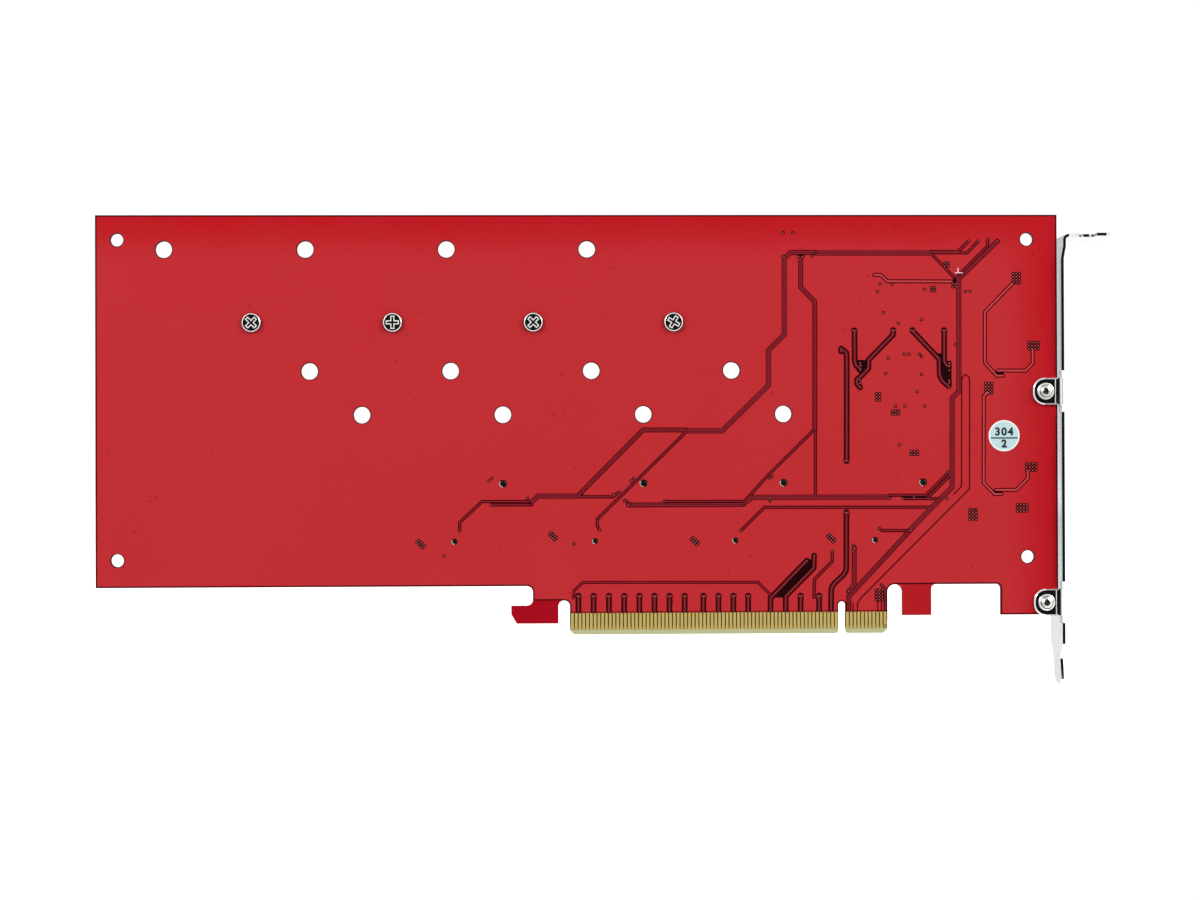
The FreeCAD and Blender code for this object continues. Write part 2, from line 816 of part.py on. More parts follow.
def socket_capacitors():
    """Small capacitors in a row behind each socket."""
    length, width, height = socket_capacitor_size
    back = socket_depth - socket_front_to_peg
    blocks = []
    for index in range(drive_count):
        for number in range(socket_capacitor_count):
            across = (number - (socket_capacitor_count - 1) / 2) * socket_capacitor_pitch
            start = back + socket_capacitor_gap
            block = box(Vector(start, across - width / 2, 0),
                        Vector(start + length, across + width / 2, height))
            blocks.append(in_socket_frame(block, index))
    return group(blocks)


def clock_buffer():
    size = (clock_size, clock_size, clock_height)
    return bevelled_chip(clock_centre_x, clock_centre_z, size, clock_chamfer)


def clock_capacitors():
    """Small capacitors in a column on each side of the clock chip."""
    blocks = []
    for side in (-1, 1):
        for number in range(small_parts_a_side):
            step = (number - (small_parts_a_side - 1) / 2) * small_part_pitch
            place = (clock_centre_x + side * small_part_ring, clock_centre_z + step)
            blocks.append(chip(*place, small_part_size))
    return group(blocks)


def clock_resistors():
    """Small resistors in a row above and below the clock chip."""
    length, depth, height = small_part_size
    blocks = []
    for side in (-1, 1):
        for number in range(small_parts_a_side):
            step = (number - (small_parts_a_side - 1) / 2) * small_part_pitch
            place = (clock_centre_x + step, clock_centre_z + side * small_part_ring)
            blocks.append(chip(*place, (depth, length, height)))
    return group(blocks)


def led_row(drop, size):
    """One small part for each drive, in a row near the top edge."""
    blocks = []
    for number in range(led_count):
        x = board_right_x - led_inset_x - number * led_pitch
        blocks.append(chip(x, board_height - led_inset_z - drop, size))
    return group(blocks)


def inspection_sticker():
    x = board_right_x - sticker_inset_x
    return Part.makeCylinder(sticker_diameter / 2, sticker_thickness,
                             Vector(x, -face_y, sticker_z), Vector(0, -1, 0))


def all_nodes():
    nodes = {
        "pcb": pcb(),
        "edge_contacts_rear": edge_contacts(-1, short_pins_rear),
        "edge_contacts_front": edge_contacts(1, short_pins_front),
        "bracket": bracket(),
        "bracket_screws": bracket_screws(),
        "bracket_nuts": bracket_nuts(),
        "standoff_screws": standoff_screws(),
        "drive_standoffs": drive_standoffs(),
        "drive_screws": drive_screws(),
        "power_capacitors": power_capacitors(),
        "socket_capacitors": socket_capacitors(),
        "clock_buffer": clock_buffer(),
        "clock_capacitors": clock_capacitors(),
        "clock_resistors": clock_resistors(),
        "status_leds": led_row(0, led_size),
        "led_resistors": led_row(led_resistor_drop, led_resistor_size),
        "inspection_sticker": inspection_sticker(),
    }
    for number in range(len(supply_centres_z)):
        nodes[f"voltage_regulator_{number + 1}"] = voltage_regulator(number)
        nodes[f"power_inductor_{number + 1}"] = power_inductor(number)
    for index in range(drive_count):
        nodes[f"m2_socket_{index + 1}"] = socket_housing(index)
        nodes[f"m2_socket_{index + 1}_anchors"] = socket_anchors(index)
        nodes[f"bulk_capacitor_{index + 1}"] = bulk_capacitor(index)
    return nodes


os.makedirs("parts", exist_ok=True)
for name, shape in all_nodes().items():
    shape.exportStep(f"parts/{name}.step")
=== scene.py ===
import math

import bpy
from mathutils import Euler, Matrix, Vector


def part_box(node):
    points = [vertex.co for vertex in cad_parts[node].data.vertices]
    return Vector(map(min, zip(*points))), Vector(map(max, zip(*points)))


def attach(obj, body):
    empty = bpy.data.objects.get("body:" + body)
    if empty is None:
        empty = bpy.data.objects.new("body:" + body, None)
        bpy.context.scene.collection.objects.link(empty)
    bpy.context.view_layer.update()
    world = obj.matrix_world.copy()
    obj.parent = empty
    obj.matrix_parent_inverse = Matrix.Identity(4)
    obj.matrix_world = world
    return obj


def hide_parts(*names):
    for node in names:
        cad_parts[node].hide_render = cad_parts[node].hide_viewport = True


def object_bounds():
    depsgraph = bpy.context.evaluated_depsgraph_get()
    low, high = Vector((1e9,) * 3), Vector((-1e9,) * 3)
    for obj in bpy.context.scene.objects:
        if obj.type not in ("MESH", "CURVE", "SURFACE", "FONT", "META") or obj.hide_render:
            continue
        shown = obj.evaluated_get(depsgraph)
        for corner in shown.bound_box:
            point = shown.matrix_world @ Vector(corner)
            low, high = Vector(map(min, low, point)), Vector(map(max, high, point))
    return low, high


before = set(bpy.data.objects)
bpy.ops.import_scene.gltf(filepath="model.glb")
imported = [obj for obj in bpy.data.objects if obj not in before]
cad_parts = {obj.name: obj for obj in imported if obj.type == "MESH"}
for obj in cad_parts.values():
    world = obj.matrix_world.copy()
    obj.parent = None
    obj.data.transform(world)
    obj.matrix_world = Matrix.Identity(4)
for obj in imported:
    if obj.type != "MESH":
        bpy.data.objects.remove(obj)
cad_box = [list(corner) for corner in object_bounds()]

# Looks of a circuit card for four M.2 drives, seen from its solder side.
# X runs along the card to its bracket, Z is up from the edge contacts, and the solder side
# faces -Y. Lengths are metres, written as a number times mm, unless a comment says otherwise.
mm = 0.001

# Faces of the board, and its outline in millimetres
rear_face = -0.8 * mm
front_face = 0.8 * mm
board_low, board_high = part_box("pcb")
board_left, board_right, board_top = board_low.x / mm, board_high.x / mm, board_high.z / mm
board_bottom = 12.9
fingers_left, fingers_right = -72.15, 12.15
bevel_top = 1.3
hook_bare_x, hook_bare_z = -73.7, 9.05
tab_left, tab_right = 16.1, 23.87

# Drive sockets
sockets = range(1, 5)
socket_turn = math.radians(40.1)
into_socket = Vector((math.cos(socket_turn), 0, -math.sin(socket_turn)))
across_socket = Vector((-math.sin(socket_turn), 0, -math.cos(socket_turn)))
socket_middle = 0.7 * mm

# Camera of the photograph, whose picture is 1200 pixels wide
photo_width = 1200
camera_place = Vector((-77.0 * mm, -775.8 * mm, 42.0 * mm))
aim_point = Vector((-64.05 * mm, rear_face, 48.8 * mm))
camera_yaw = math.radians(2.0)
camera_roll = math.radians(-0.206)
focal_pixels = 2926
sensor = 36.0

# Fitted view of the board's solder side in the photograph
view_origin = (840.8, 635.72)
pixels_per_mm = 3.7225
view_stretch = 1.0231
view_turn = 0.0054
keystone = (4.46e-5, 2.0e-5)
lens_bow = 3.555e-8
view_middle = (600, 450)
view_refinements = 12


def seen_at(x_mm, z_mm):
    """Pixel of the photograph at which a point of the solder side is seen."""
    along = math.cos(view_turn) * x_mm - math.sin(view_turn) * z_mm
    up = math.sin(view_turn) * x_mm + math.cos(view_turn) * z_mm
    depth = 1 + keystone[0] * x_mm + keystone[1] * z_mm
    across = pixels_per_mm * along / depth + view_origin[0] - view_middle[0]
    down = -pixels_per_mm * view_stretch * up / depth + view_origin[1] - view_middle[1]
    bow = 1 + lens_bow * (across * across + down * down)
    return view_middle[0] + across * bow, view_middle[1] + down * bow


def on_board(pixel):
    """Place (x, z) in metres on the solder side of a pixel of the photograph."""
    x_mm = (pixel[0] - view_origin[0]) / pixels_per_mm
    z_mm = (view_origin[1] - pixel[1]) / pixels_per_mm
    for _ in range(view_refinements):
        seen_x, seen_y = seen_at(x_mm, z_mm)
        x_mm -= (seen_x - pixel[0]) / pixels_per_mm
        z_mm += (seen_y - pixel[1]) / pixels_per_mm
    return x_mm * mm, z_mm * mm


# ---------------------------------------------------------------- shader maths
class Wire:
    """One socket of a node tree. Sums and products of wires add their own Math nodes."""

    def __init__(self, nodes, socket):
        self.nodes = nodes
        self.socket = socket

    def maths(self, operation, *values):
        return self.nodes.node("ShaderNodeMath", {"operation": operation}, values)

    def __add__(self, other):
        return self.maths("ADD", self, other)

    def __sub__(self, other):
        return self.maths("SUBTRACT", self, other)

    def __rsub__(self, other):
        return self.maths("SUBTRACT", other, self)

    def __mul__(self, other):
        return self.maths("MULTIPLY", self, other)

    __radd__ = __add__

    def size(self):
        return self.maths("ABSOLUTE", self)

    def root(self):
        return self.maths("SQRT", self)

    def ramp(self, start, end, low=0.0, high=1.0):
        """Smooth change from low to high while the wire goes from start to end."""
        return self.nodes.node(
            "ShaderNodeMapRange", {"interpolation_type": "SMOOTHSTEP"},
            {"Value": self, "From Min": start, "From Max": end, "To Min": low, "To Max": high})

    def over(self, edge, soft):
        """0 below an edge and 1 above it, with a smooth change over the width soft."""
        return self.ramp(edge - soft / 2, edge + soft / 2)

    def between(self, low, high, soft):
        return self.over(low, soft) * (1 - self.over(high, soft))


class Nodes:
    """A node tree that grows by one node at a time."""

    def __init__(self, tree):
        self.tree = tree

    def feed(self, socket, value):
        if isinstance(value, Wire):
            self.tree.links.new(value.socket, socket)
        elif socket.type == "RGBA":
            socket.default_value = (*value, 1)
        else:
            socket.default_value = value

    def node(self, kind, settings=(), inputs=(), output=0):
        """New node with its settings and inputs, as a wire from one of its outputs."""
        made = self.tree.nodes.new(kind)
        for name, value in dict(settings).items():
            setattr(made, name, value)
        pairs = inputs.items() if isinstance(inputs, dict) else enumerate(inputs)
        for key, value in pairs:
            self.feed(made.inputs[key], value)
        return Wire(self, made.outputs[output])


class Finish(Nodes):
    """A node-based material for one of the card's finishes. Its places are in millimetres."""

    def __init__(self, name, **constants):
        self.material = bpy.data.materials.new(name)
        self.material.use_nodes = True
        super().__init__(self.material.node_tree)
        self.shader = next(n for n in self.tree.nodes if n.type == "BSDF_PRINCIPLED")
        self.set(**constants)
        coordinates = self.node("ShaderNodeTexCoord", output="Object")
        self.place = self.vector("SCALE", coordinates, scale=1 / mm)
        split = self.tree.nodes.new("ShaderNodeSeparateXYZ")
        self.feed(split.inputs[0], self.place)
        self.x, self.y, self.z = (Wire(self, socket) for socket in split.outputs)

    def set(self, **values):
        for socket, value in values.items():
            self.feed(self.shader.inputs[socket.replace("_", " ")], value)

    def vector(self, operation, first, second=(0, 0, 0), scale=1.0):
        inputs = {0: first, 3: scale} if operation == "SCALE" else {0: first, 1: second}
        return self.node("ShaderNodeVectorMath", {"operation": operation}, inputs)

    def noise(self, per_mm, detail=2.0, stretch=(1, 1, 1)):
        """Soft random pattern from 0 to 1, with per_mm waves a millimetre."""
        place = self.vector("MULTIPLY", self.place, stretch)
        return self.node("ShaderNodeTexNoise", {}, {
            "Vector": place, "Scale": per_mm, "Detail": detail, "Roughness": 0.55})

    def cells(self, per_mm):
        """Distance to scattered points, in cell widths, with per_mm points a millimetre."""
        return self.node("ShaderNodeTexVoronoi", {}, {"Vector": self.place, "Scale": per_mm})

    def blend(self, amount, first, second):
        colours = {0: amount, 6: first, 7: second}
        return self.node("ShaderNodeMix", {"data_type": "RGBA"}, colours, 2)

    def shade(self, colour, amount):
        """A colour made lighter or darker by an amount round 1."""
        return self.vector("SCALE", colour, scale=amount)

    def bump(self, height, depth):
        """Relief with a depth in millimetres where the height goes from 0 to 1."""
        self.set(Normal=self.node("ShaderNodeBump", {}, {
            "Strength": 1.0, "Distance": depth * mm, "Height": height}))


# ---------------------------------------------------------------- finishes of the board
# The mask's red with a painted reflection haze, and the deeper red without it
sheened_pour_red = (0.53, 0.030, 0.036)
unsheened_pour_red = (0.50, 0.005, 0.011)
hook_red = (0.38, 0.003, 0.012)
tab_red = (0.45, 0.0115, 0.0165)
laminate_tan = (0.27, 0.235, 0.09)
laminate_olive = (0.028, 0.017, 0.002)
bevel_pale = (0.53, 0.53, 0.28)
wall_brown = (0.10, 0.02, 0.014)
mask_gloss = 0.35


def board_finish():
    """Red solder mask over copper, with a painted reflection haze over its middle, bare mask on
    hook and tab, glass laminate at the edges.
    """
    f = Finish("board_red", Specular_IOR_Level=mask_gloss)
    cloud = f.noise(0.035, 3.0) * 0.3
    # Painted reflection: a pale haze over the middle of the mask, with deeper red along its top and
    # right edges
    cloud = cloud + (1 - (f.x - board_left).over(246, 16)) * (1 - f.z.over(104, 14)) * 0.75
    grain = f.noise(2.2, 3.0)
    mottle = 1.04 - grain * 0.08
    speck = (1 - f.cells(0.16).over(0.05, 0.03)) * 0.35
    pour = f.shade(f.blend(cloud, unsheened_pour_red, sheened_pour_red), mottle - speck)
    hook = (1 - f.z.over(hook_bare_z, 0.1)) * (1 - f.x.over(hook_bare_x, 0.1))
    tab = (1 - f.z.over(board_bottom, 0.1)) * f.x.between(tab_left, tab_right, 0.1)
    face = f.blend(hook, f.blend(tab, pour, tab_red), f.shade(hook_red, mottle))
    # Laminate between and below the contacts, lighter where light comes round their ends
    over_fingers = f.x.between(fingers_left, fingers_right, 0.1)
    bared = over_fingers * (1 - f.z.over(5.7, 0.04))
    weave = f.noise(3.0, 2.0, (1, 1, 0.25))
    low_glow = 1 - f.z.over(1.9, 1.2) + f.x.over(11.1, 0.1) * (1 - f.z.over(3.2, 0.3))
    olive = f.blend(low_glow, f.shade(laminate_olive, 0.6 + weave * 0.9), laminate_tan)
    face = f.blend(bared, face, olive)
    bevel = over_fingers * (1 - f.z.over(bevel_top, 0.15))
    face = f.blend(bevel, face, f.shade(bevel_pale, 0.8 + weave * 0.4))
    # Cut walls of the board
    wall = (1 - f.y.size().over(0.79, 0.012)) * (1 - bevel)
    layers = f.noise(1.5, 2.0, (0.1, 6.0, 0.1))
    f.set(Base_Color=f.blend(wall, face, f.shade(wall_brown, 0.5 + layers)),
          Roughness=0.55 - (1 - wall) * (1 - bared) * 0.29 + grain * 0.05)
    f.bump(f.noise(1.1) * 0.6 + grain * 0.4, 0.006)
    return f.material


def masked_copper(name, colour, spread):
    """Solder mask over a track or over a bare gap, with a slight change of tone."""
    f = Finish(name, Specular_IOR_Level=mask_gloss)
    tone = f.noise(0.35) * spread + (1 - spread / 2)
    f.set(Base_Color=f.shade(colour, tone), Roughness=f.noise(1.5) * 0.1 + 0.24)
    f.bump(f.noise(2.5), 0.004)
    return f.material


def print_finish(name, colour, roughness):
    """Ink or paint with a slightly uneven coat."""
    f = Finish(name)
    f.set(Base_Color=f.shade(colour, f.noise(2.0, 3.0) * 0.16 + 0.92),
          Roughness=f.noise(1.2) * 0.1 + roughness)
    f.bump(f.noise(4.0), 0.003)
    return f.material


def gold_finish():
    """Hard gold over nickel, with fine streaks along each contact."""
    f = Finish("contact_gold", Metallic=0.6)
    streak = f.noise(2.4, 3.0, (2.2, 1, 0.12))
    wear = f.noise(0.5) * 0.2 + 0.9
    f.set(Base_Color=f.shade(f.blend(streak, (0.78, 0.54, 0.12), (0.98, 0.78, 0.28)), wear),
          Roughness=0.42 + streak * 0.14)
    f.bump(streak, 0.004)
    return f.material


def metal_finish(name, colour, dark, roughness, waves, stretch=(1, 1, 1), depth=0.003, tint=1.0):
    """Plated or turned metal with clouded tone and fine marks."""
    f = Finish(name, Metallic=1.0, Specular_Tint=(tint, tint, tint))
    fine = f.noise(waves * 6, 2.0, stretch)
    f.set(Base_Color=f.blend(f.noise(waves, 3.0, stretch), dark, colour),
          Roughness=fine * 0.14 + roughness)
    f.bump(fine, depth)
    return f.material


def inner_face_finish():
    """Inside of the bracket, with painted shade that makes it darker near its tongue."""
    f = Finish("bracket_inner_face", Metallic=1.0)
    cloud = f.noise(0.25, 3.0)
    shaded_steel = f.blend(cloud, (0.32, 0.34, 0.35), (0.40, 0.42, 0.43))
    bright = f.blend(cloud, (0.72, 0.75, 0.77), (0.80, 0.83, 0.85))
    f.set(Base_Color=f.blend(f.z.over(33, 8), shaded_steel, bright), Roughness=f.noise(1.5) * 0.14 + 0.2)
    f.bump(f.noise(0.6), 0.002)
    return f.material


def moulded_finish(name, colour, light, roughness, waves, coat=0.0):
    """Moulded plastic or ceramic with a fine grain."""
    f = Finish(name, Coat_Weight=coat, Coat_Roughness=0.2)
    grain = f.noise(waves, 4.0)
    f.set(Base_Color=f.blend(grain, colour, light), Roughness=grain * 0.18 + roughness)
    f.bump(grain, 0.01)
    return f.material


def paper_finish():
    """Pale blue sticker with a white rim and a fibrous print."""
    f = Finish("sticker_paper", Roughness=0.45)
    low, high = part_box("inspection_sticker")
    across = f.x - (low.x + high.x) / 2 / mm
    up = f.z - (low.z + high.z) / 2 / mm
    radius = (high.x - low.x) / 2 / mm
    rim = (across * across + up * up).root().over(radius - 0.42, 0.12)
    fibre = f.noise(1.8, 4.0)
    face = f.blend(fibre, (0.47, 0.70, 0.72), (0.62, 0.80, 0.82))
    f.set(Base_Color=f.blend(rim, face, (0.93, 0.92, 0.90)), Roughness=fibre * 0.1 + 0.42)
    f.bump(fibre, 0.006)
    return f.material


red_board = board_finish()
bundle_bare = masked_copper("bundle_gap", (0.11, 0.0015, 0.005), 0.2)
gap_dark = masked_copper("bare_gap", (0.095, 0.001, 0.003), 0.2)
# Dark power gaps, also used for the ring round each black screw head, which is partly painted
# shadow
bare_gap_and_shadow = masked_copper("power_gap_and_shadow", (0.040, 0.0005, 0.001), 0.3)
gap_black = masked_copper("bare_field", (0.016, 0.0005, 0.001), 0.4)
core_purple = masked_copper("masked_track", (0.29, 0.021, 0.033), 0.2)
core_power = masked_copper("masked_power_track", (0.23, 0.021, 0.030), 0.2)
core_red = masked_copper("masked_supply_track", (0.60, 0.065, 0.070), 0.2)
via_dot = masked_copper("tented_via", (0.50, 0.09, 0.09), 0.3)
field_dot = masked_copper("via_field_dot", (0.60, 0.13, 0.14), 0.2)
border_dark = masked_copper("copper_border", (0.075, 0.001, 0.002), 0.3)
# Dark rings of the holes and of the peg clearance: bare edge, partly painted shadow
hole_edge_and_shadow = masked_copper("bare_hole_edge_and_shadow", (0.022, 0.012, 0.008), 0.5)
# Pale crescent beside each peg: a painted highlight
peg_highlight = masked_copper("peg_highlight_crescent", (0.60, 0.66, 0.55), 0.5)
peg_black = masked_copper("peg_end", (0.006, 0.008, 0.007), 0.5)
gold = gold_finish()
steel = metal_finish("bracket_steel", (0.78, 0.81, 0.83), (0.66, 0.69, 0.71), 0.08, 0.25, tint=0.8)
inner_steel = inner_face_finish()
# Painted shade: the outer face of the bracket is a darker copy of its steel
shaded_outer_steel = metal_finish("bracket_outer_face", (0.43, 0.45, 0.46), (0.29, 0.31, 0.32),
                           0.24, 0.6, (1, 1, 0.08), tint=0.8)
nickel = metal_finish("screw_nickel", (0.88, 0.87, 0.84), (0.46, 0.45, 0.43), 0.18, 1.1, depth=0.02)
bright_edge = metal_finish("bared_steel", (0.92, 0.92, 0.90), (0.72, 0.72, 0.70), 0.2, 1.2)
# Pale paint: painted highlight on the bracket's relief edges and fold creases, and wear with
# painted highlight round the black screws' recesses
highlight_and_wear_paint = print_finish("highlight_and_wear_paint", (0.84, 0.81, 0.78), 0.4)
screw_black = moulded_finish("screw_black", (0.002, 0.003, 0.002), (0.012, 0.014, 0.013), 0.10, 2.5)
brass = metal_finish("standoff_brass", (0.83, 0.62, 0.27), (0.66, 0.46, 0.18), 0.2, 0.7)
tin = metal_finish("solder_tin", (0.84, 0.84, 0.82), (0.58, 0.58, 0.57), 0.22, 1.5, depth=0.012)
tan = moulded_finish("capacitor_tan", (0.36, 0.22, 0.12), (0.46, 0.30, 0.18), 0.38, 4.0)
chip_black = moulded_finish("chip_black", (0.010, 0.010, 0.011), (0.030, 0.030, 0.031), 0.45, 5.0)
resistor_black = moulded_finish("resistor_black", (0.008, 0.008, 0.010), (0.02, 0.02, 0.024),
                                0.28, 5.0)
led_clear = moulded_finish("led_clear", (0.80, 0.80, 0.66), (0.92, 0.92, 0.80), 0.12, 3.0, coat=0.6)
ferrite = moulded_finish("inductor_grey", (0.060, 0.060, 0.064), (0.115, 0.115, 0.12), 0.5, 2.6)
bulk_dark = moulded_finish("bulk_capacitor_dark", (0.012, 0.012, 0.013), (0.035, 0.035, 0.037),
                           0.34, 4.0)
socket_black = moulded_finish("socket_black", (0.010, 0.010, 0.011), (0.026, 0.026, 0.027),
                              0.42, 3.0)
paper = paper_finish()
ink = print_finish("sticker_print", (0.012, 0.016, 0.020), 0.5)
legend_white = print_finish("board_legend", (0.80, 0.80, 0.76), 0.55)

# ---------------------------------------------------------------- modelling helpers
to_rear = Matrix.Rotation(math.pi / 2, 4, "X")
to_front = Matrix.Rotation(-math.pi / 2, 4, "X")
quarter_turn = Matrix.Rotation(math.pi / 2, 4, "Z")
half_turn = Matrix.Rotation(math.pi, 4, "Z")
upside_down = Matrix.Rotation(math.pi, 4, "X")
weld_reach = 0.001 * mm
flat_within = math.radians(1)


def turned(degrees):
    """Turn in the plane of the board."""
    return Matrix.Rotation(math.radians(degrees), 4, "Y")


def on_front(low, high):
    """Place on the component side, facing out of it, in the middle of a box."""
    middle = (low + high) / 2
    return Matrix.Translation((middle.x, front_face, middle.z)) @ to_front


def every_face(face):
    return True


def on_top(face):
    return face.normal.z > 0.9


def at_left(face):
    return face.normal.x < -0.9


def clear_selection():
    if bpy.context.mode != "OBJECT":
        bpy.ops.object.mode_set(mode="OBJECT")
    bpy.ops.object.select_all(action="DESELECT")


def make_active(piece):
    clear_selection()
    piece.select_set(True)
    bpy.context.view_layer.objects.active = piece


def settle(piece):
    """Put a piece's place and turn into its mesh."""
    make_active(piece)
    bpy.ops.object.transform_apply(location=True, rotation=True, scale=True)
    return piece


def edit_faces(piece, wanted=None):
    """Open a piece in edit mode with the faces selected that a test picks, or that still are."""
    make_active(piece)
    bpy.ops.object.mode_set(mode="EDIT")
    bpy.ops.mesh.select_mode(type="FACE")
    if wanted:
        bpy.ops.mesh.select_all(action="DESELECT")
        bpy.ops.object.mode_set(mode="OBJECT")
        for face in piece.data.polygons:
            face.select = wanted(face)
        bpy.ops.object.mode_set(mode="EDIT")


def close_edit():
    bpy.ops.object.mode_set(mode="OBJECT")


def inset_faces(piece, wanted, *steps):
    """Inset the faces that a test picks, once for each thickness and depth."""
    edit_faces(piece, wanted)
    for thickness, depth in steps:
        bpy.ops.mesh.inset(thickness=thickness, depth=depth)
    close_edit()


def extrude_left(piece, *moves):
    """Draw the left end of a piece on by each move."""
    edit_faces(piece, at_left)
    for move in moves:
        bpy.ops.mesh.extrude_region_move(TRANSFORM_OT_translate={"value": Vector(move) * mm})
    close_edit()


def taper_top(piece, scale, centre_x):
    """Shrink the top of a piece round a line above its middle."""
    edit_faces(piece, on_top)
    bpy.ops.transform.resize(value=scale, center_override=(centre_x, 0, 0))
    close_edit()


def dress(piece, *finishes):
    piece.data.materials.clear()
    for finish in finishes:
        piece.data.materials.append(finish)
    return piece


def paint_faces(piece, index, wanted=None):
    """Give one of the piece's finishes to the faces that a test picks, or that are selected."""
    edit_faces(piece, wanted)
    piece.active_material_index = index
    bpy.ops.object.material_slot_assign()
    close_edit()


def add_piece(piece, name, replaced=()):
    """Finished piece of the card: it rides on the board."""
    settle(piece)
    piece.name = name
    piece.data.name = name
    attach(piece, "root")
    if replaced:
        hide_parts(*replaced)


def fuse(pieces):
    clear_selection()
    for piece in pieces:
        piece.select_set(True)
    bpy.context.view_layer.objects.active = pieces[0]
    bpy.ops.object.join()
    return bpy.context.object


def lay_out(model, places):
    """One piece made of copies of a model, each with its own mesh, at the given matrices."""
    copies = []
    for place in places:
        copy = model.copy()
        copy.data = model.data.copy()
        copy.data.transform(place)
        bpy.context.collection.objects.link(copy)
        copies.append(copy)
    bpy.data.objects.remove(model)
    return fuse(copies)


def cylinder(sides, radius, depth, middle=0.0):
    """Upright cylinder with its middle at a height."""
    clear_selection()
    bpy.ops.mesh.primitive_cylinder_add(vertices=sides, radius=radius, depth=depth)
    drum = bpy.context.object
    drum.location.z = middle
    return settle(drum)


def block(size, place=(0, 0, 0)):
    """Plain block that stands on Z = 0 round a place."""
    clear_selection()
    bpy.ops.mesh.primitive_cube_add(size=1)
    body = bpy.context.object
    body.scale = size
    body.location = Vector(place) + Vector((0, 0, size[2] / 2))
    return settle(body)


def modify(piece, kind, **settings):
    """Apply one modifier of a kind."""
    make_active(piece)
    modifier = piece.modifiers.new(kind, kind)
    for name, value in settings.items():
        setattr(modifier, name, value)
    bpy.ops.object.modifier_apply(modifier=modifier.name)
    return piece


def bevel_edges(piece, width, segments, angle=30):
    return modify(piece, "BEVEL", width=width, segments=segments, limit_method="ANGLE",
                  angle_limit=math.radians(angle))


def cut_out(piece, cutter):
    modify(piece, "BOOLEAN", object=cutter, solver="EXACT")
    bpy.data.objects.remove(cutter)


def smooth(piece, angle):
    make_active(piece)
    bpy.ops.object.shade_smooth_by_angle(angle=math.radians(angle))
    return piece


def node_copy(node, merged=False):
    """Free copy of a CAD node, welded at its corners and, if merged, with flat faces whole."""
    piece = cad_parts[node].copy()
    piece.data = piece.data.copy()
    bpy.context.collection.objects.link(piece)
    piece.parent = None
    settle(piece)
    edit_faces(piece, every_face)
    bpy.ops.mesh.remove_doubles(threshold=weld_reach)
    if merged:
        bpy.ops.mesh.dissolve_limited(angle_limit=flat_within)
        bpy.ops.mesh.normals_make_consistent(inside=False)
    close_edit()
    return piece


def solid_boxes(node):
    """Lowest and highest corner of each separate solid of a CAD node, sorted along X."""
    edit_faces(node_copy(node), every_face)
    bpy.ops.mesh.separate(type="LOOSE")
    close_edit()
    boxes = []
    for part in list(bpy.context.selected_objects):
        corners = [vertex.co for vertex in part.data.vertices]
        low = Vector(min(c[axis] for c in corners) for axis in range(3))
        high = Vector(max(c[axis] for c in corners) for axis in range(3))
        boxes.append((low, high))
        bpy.data.objects.remove(part)
    return sorted(boxes, key=lambda pair: (pair[0].x, pair[0].z))


# ---------------------------------------------------------------- camera, floor and light
floor_gap = 0.3 * mm
floor_reach = 6.0
floor_front_y = -0.012
floor_white = (0.92, 0.92, 0.92)
floor_glow = 0.42

# Brightness of the studio at its sides, in front and behind, and where it changes along Y
sky_side, sky_front, sky_back = 1.1, 0.004, 0.65
dark_until, bright_from = -0.82, -0.35
bright_until, dim_from = 0.15, 0.6
backdrop_white = 1.05

# Round lamps: place, size in metres and power in watts
card_middle = Vector((-0.07, 0, 0.05))
softboxes = {
    "left_softbox": ((-1.0, -0.65, 0.6), 0.6, 10.5),
    "right_softbox": ((0.9, -0.65, 0.6), 0.6, 10.0),
    "far_softbox": ((-0.1, 1.0, 0.9), 0.9, 2.0),
}


def studio():
    view = bpy.data.cameras.new("camera")
    camera = bpy.data.objects.new("camera", view)
    bpy.context.collection.objects.link(camera)
    camera.location = camera_place
    tilt = math.atan2(aim_point.z - camera_place.z, aim_point.y - camera_place.y)
    level = Euler((math.pi / 2 + tilt, 0, -camera_yaw)).to_matrix()
    camera.rotation_euler = (level @ Matrix.Rotation(camera_roll, 3, "Z")).to_euler()
    view.sensor_width = sensor
    view.lens = focal_pixels / photo_width * sensor
    distance = aim_point.y - camera_place.y
    centre_x = camera_place.x + distance * math.tan(camera_yaw)
    view.shift_x = (aim_point.x - centre_x) / distance * focal_pixels / photo_width
    view.clip_start = 0.01
    view.clip_end = 50
    bpy.context.scene.camera = camera
    bpy.context.scene.view_settings.view_transform = "Standard"


def floor():
    """Pale floor. It ends just before the card, so that the solder side mirrors a dark room."""
    bpy.ops.mesh.primitive_plane_add(size=floor_reach)
    ground = bpy.context.object
    ground.location = (0, floor_front_y + floor_reach / 2, cad_box[0][2] - floor_gap)
    settle(ground)
    ground.name = "floor"
    finish = Finish("floor", Roughness=0.8, Emission_Color=(1, 1, 1), Emission_Strength=floor_glow)
    finish.set(Base_Color=finish.shade(floor_white, finish.noise(0.01) * 0.03 + 0.97))
    dress(ground, finish.material)


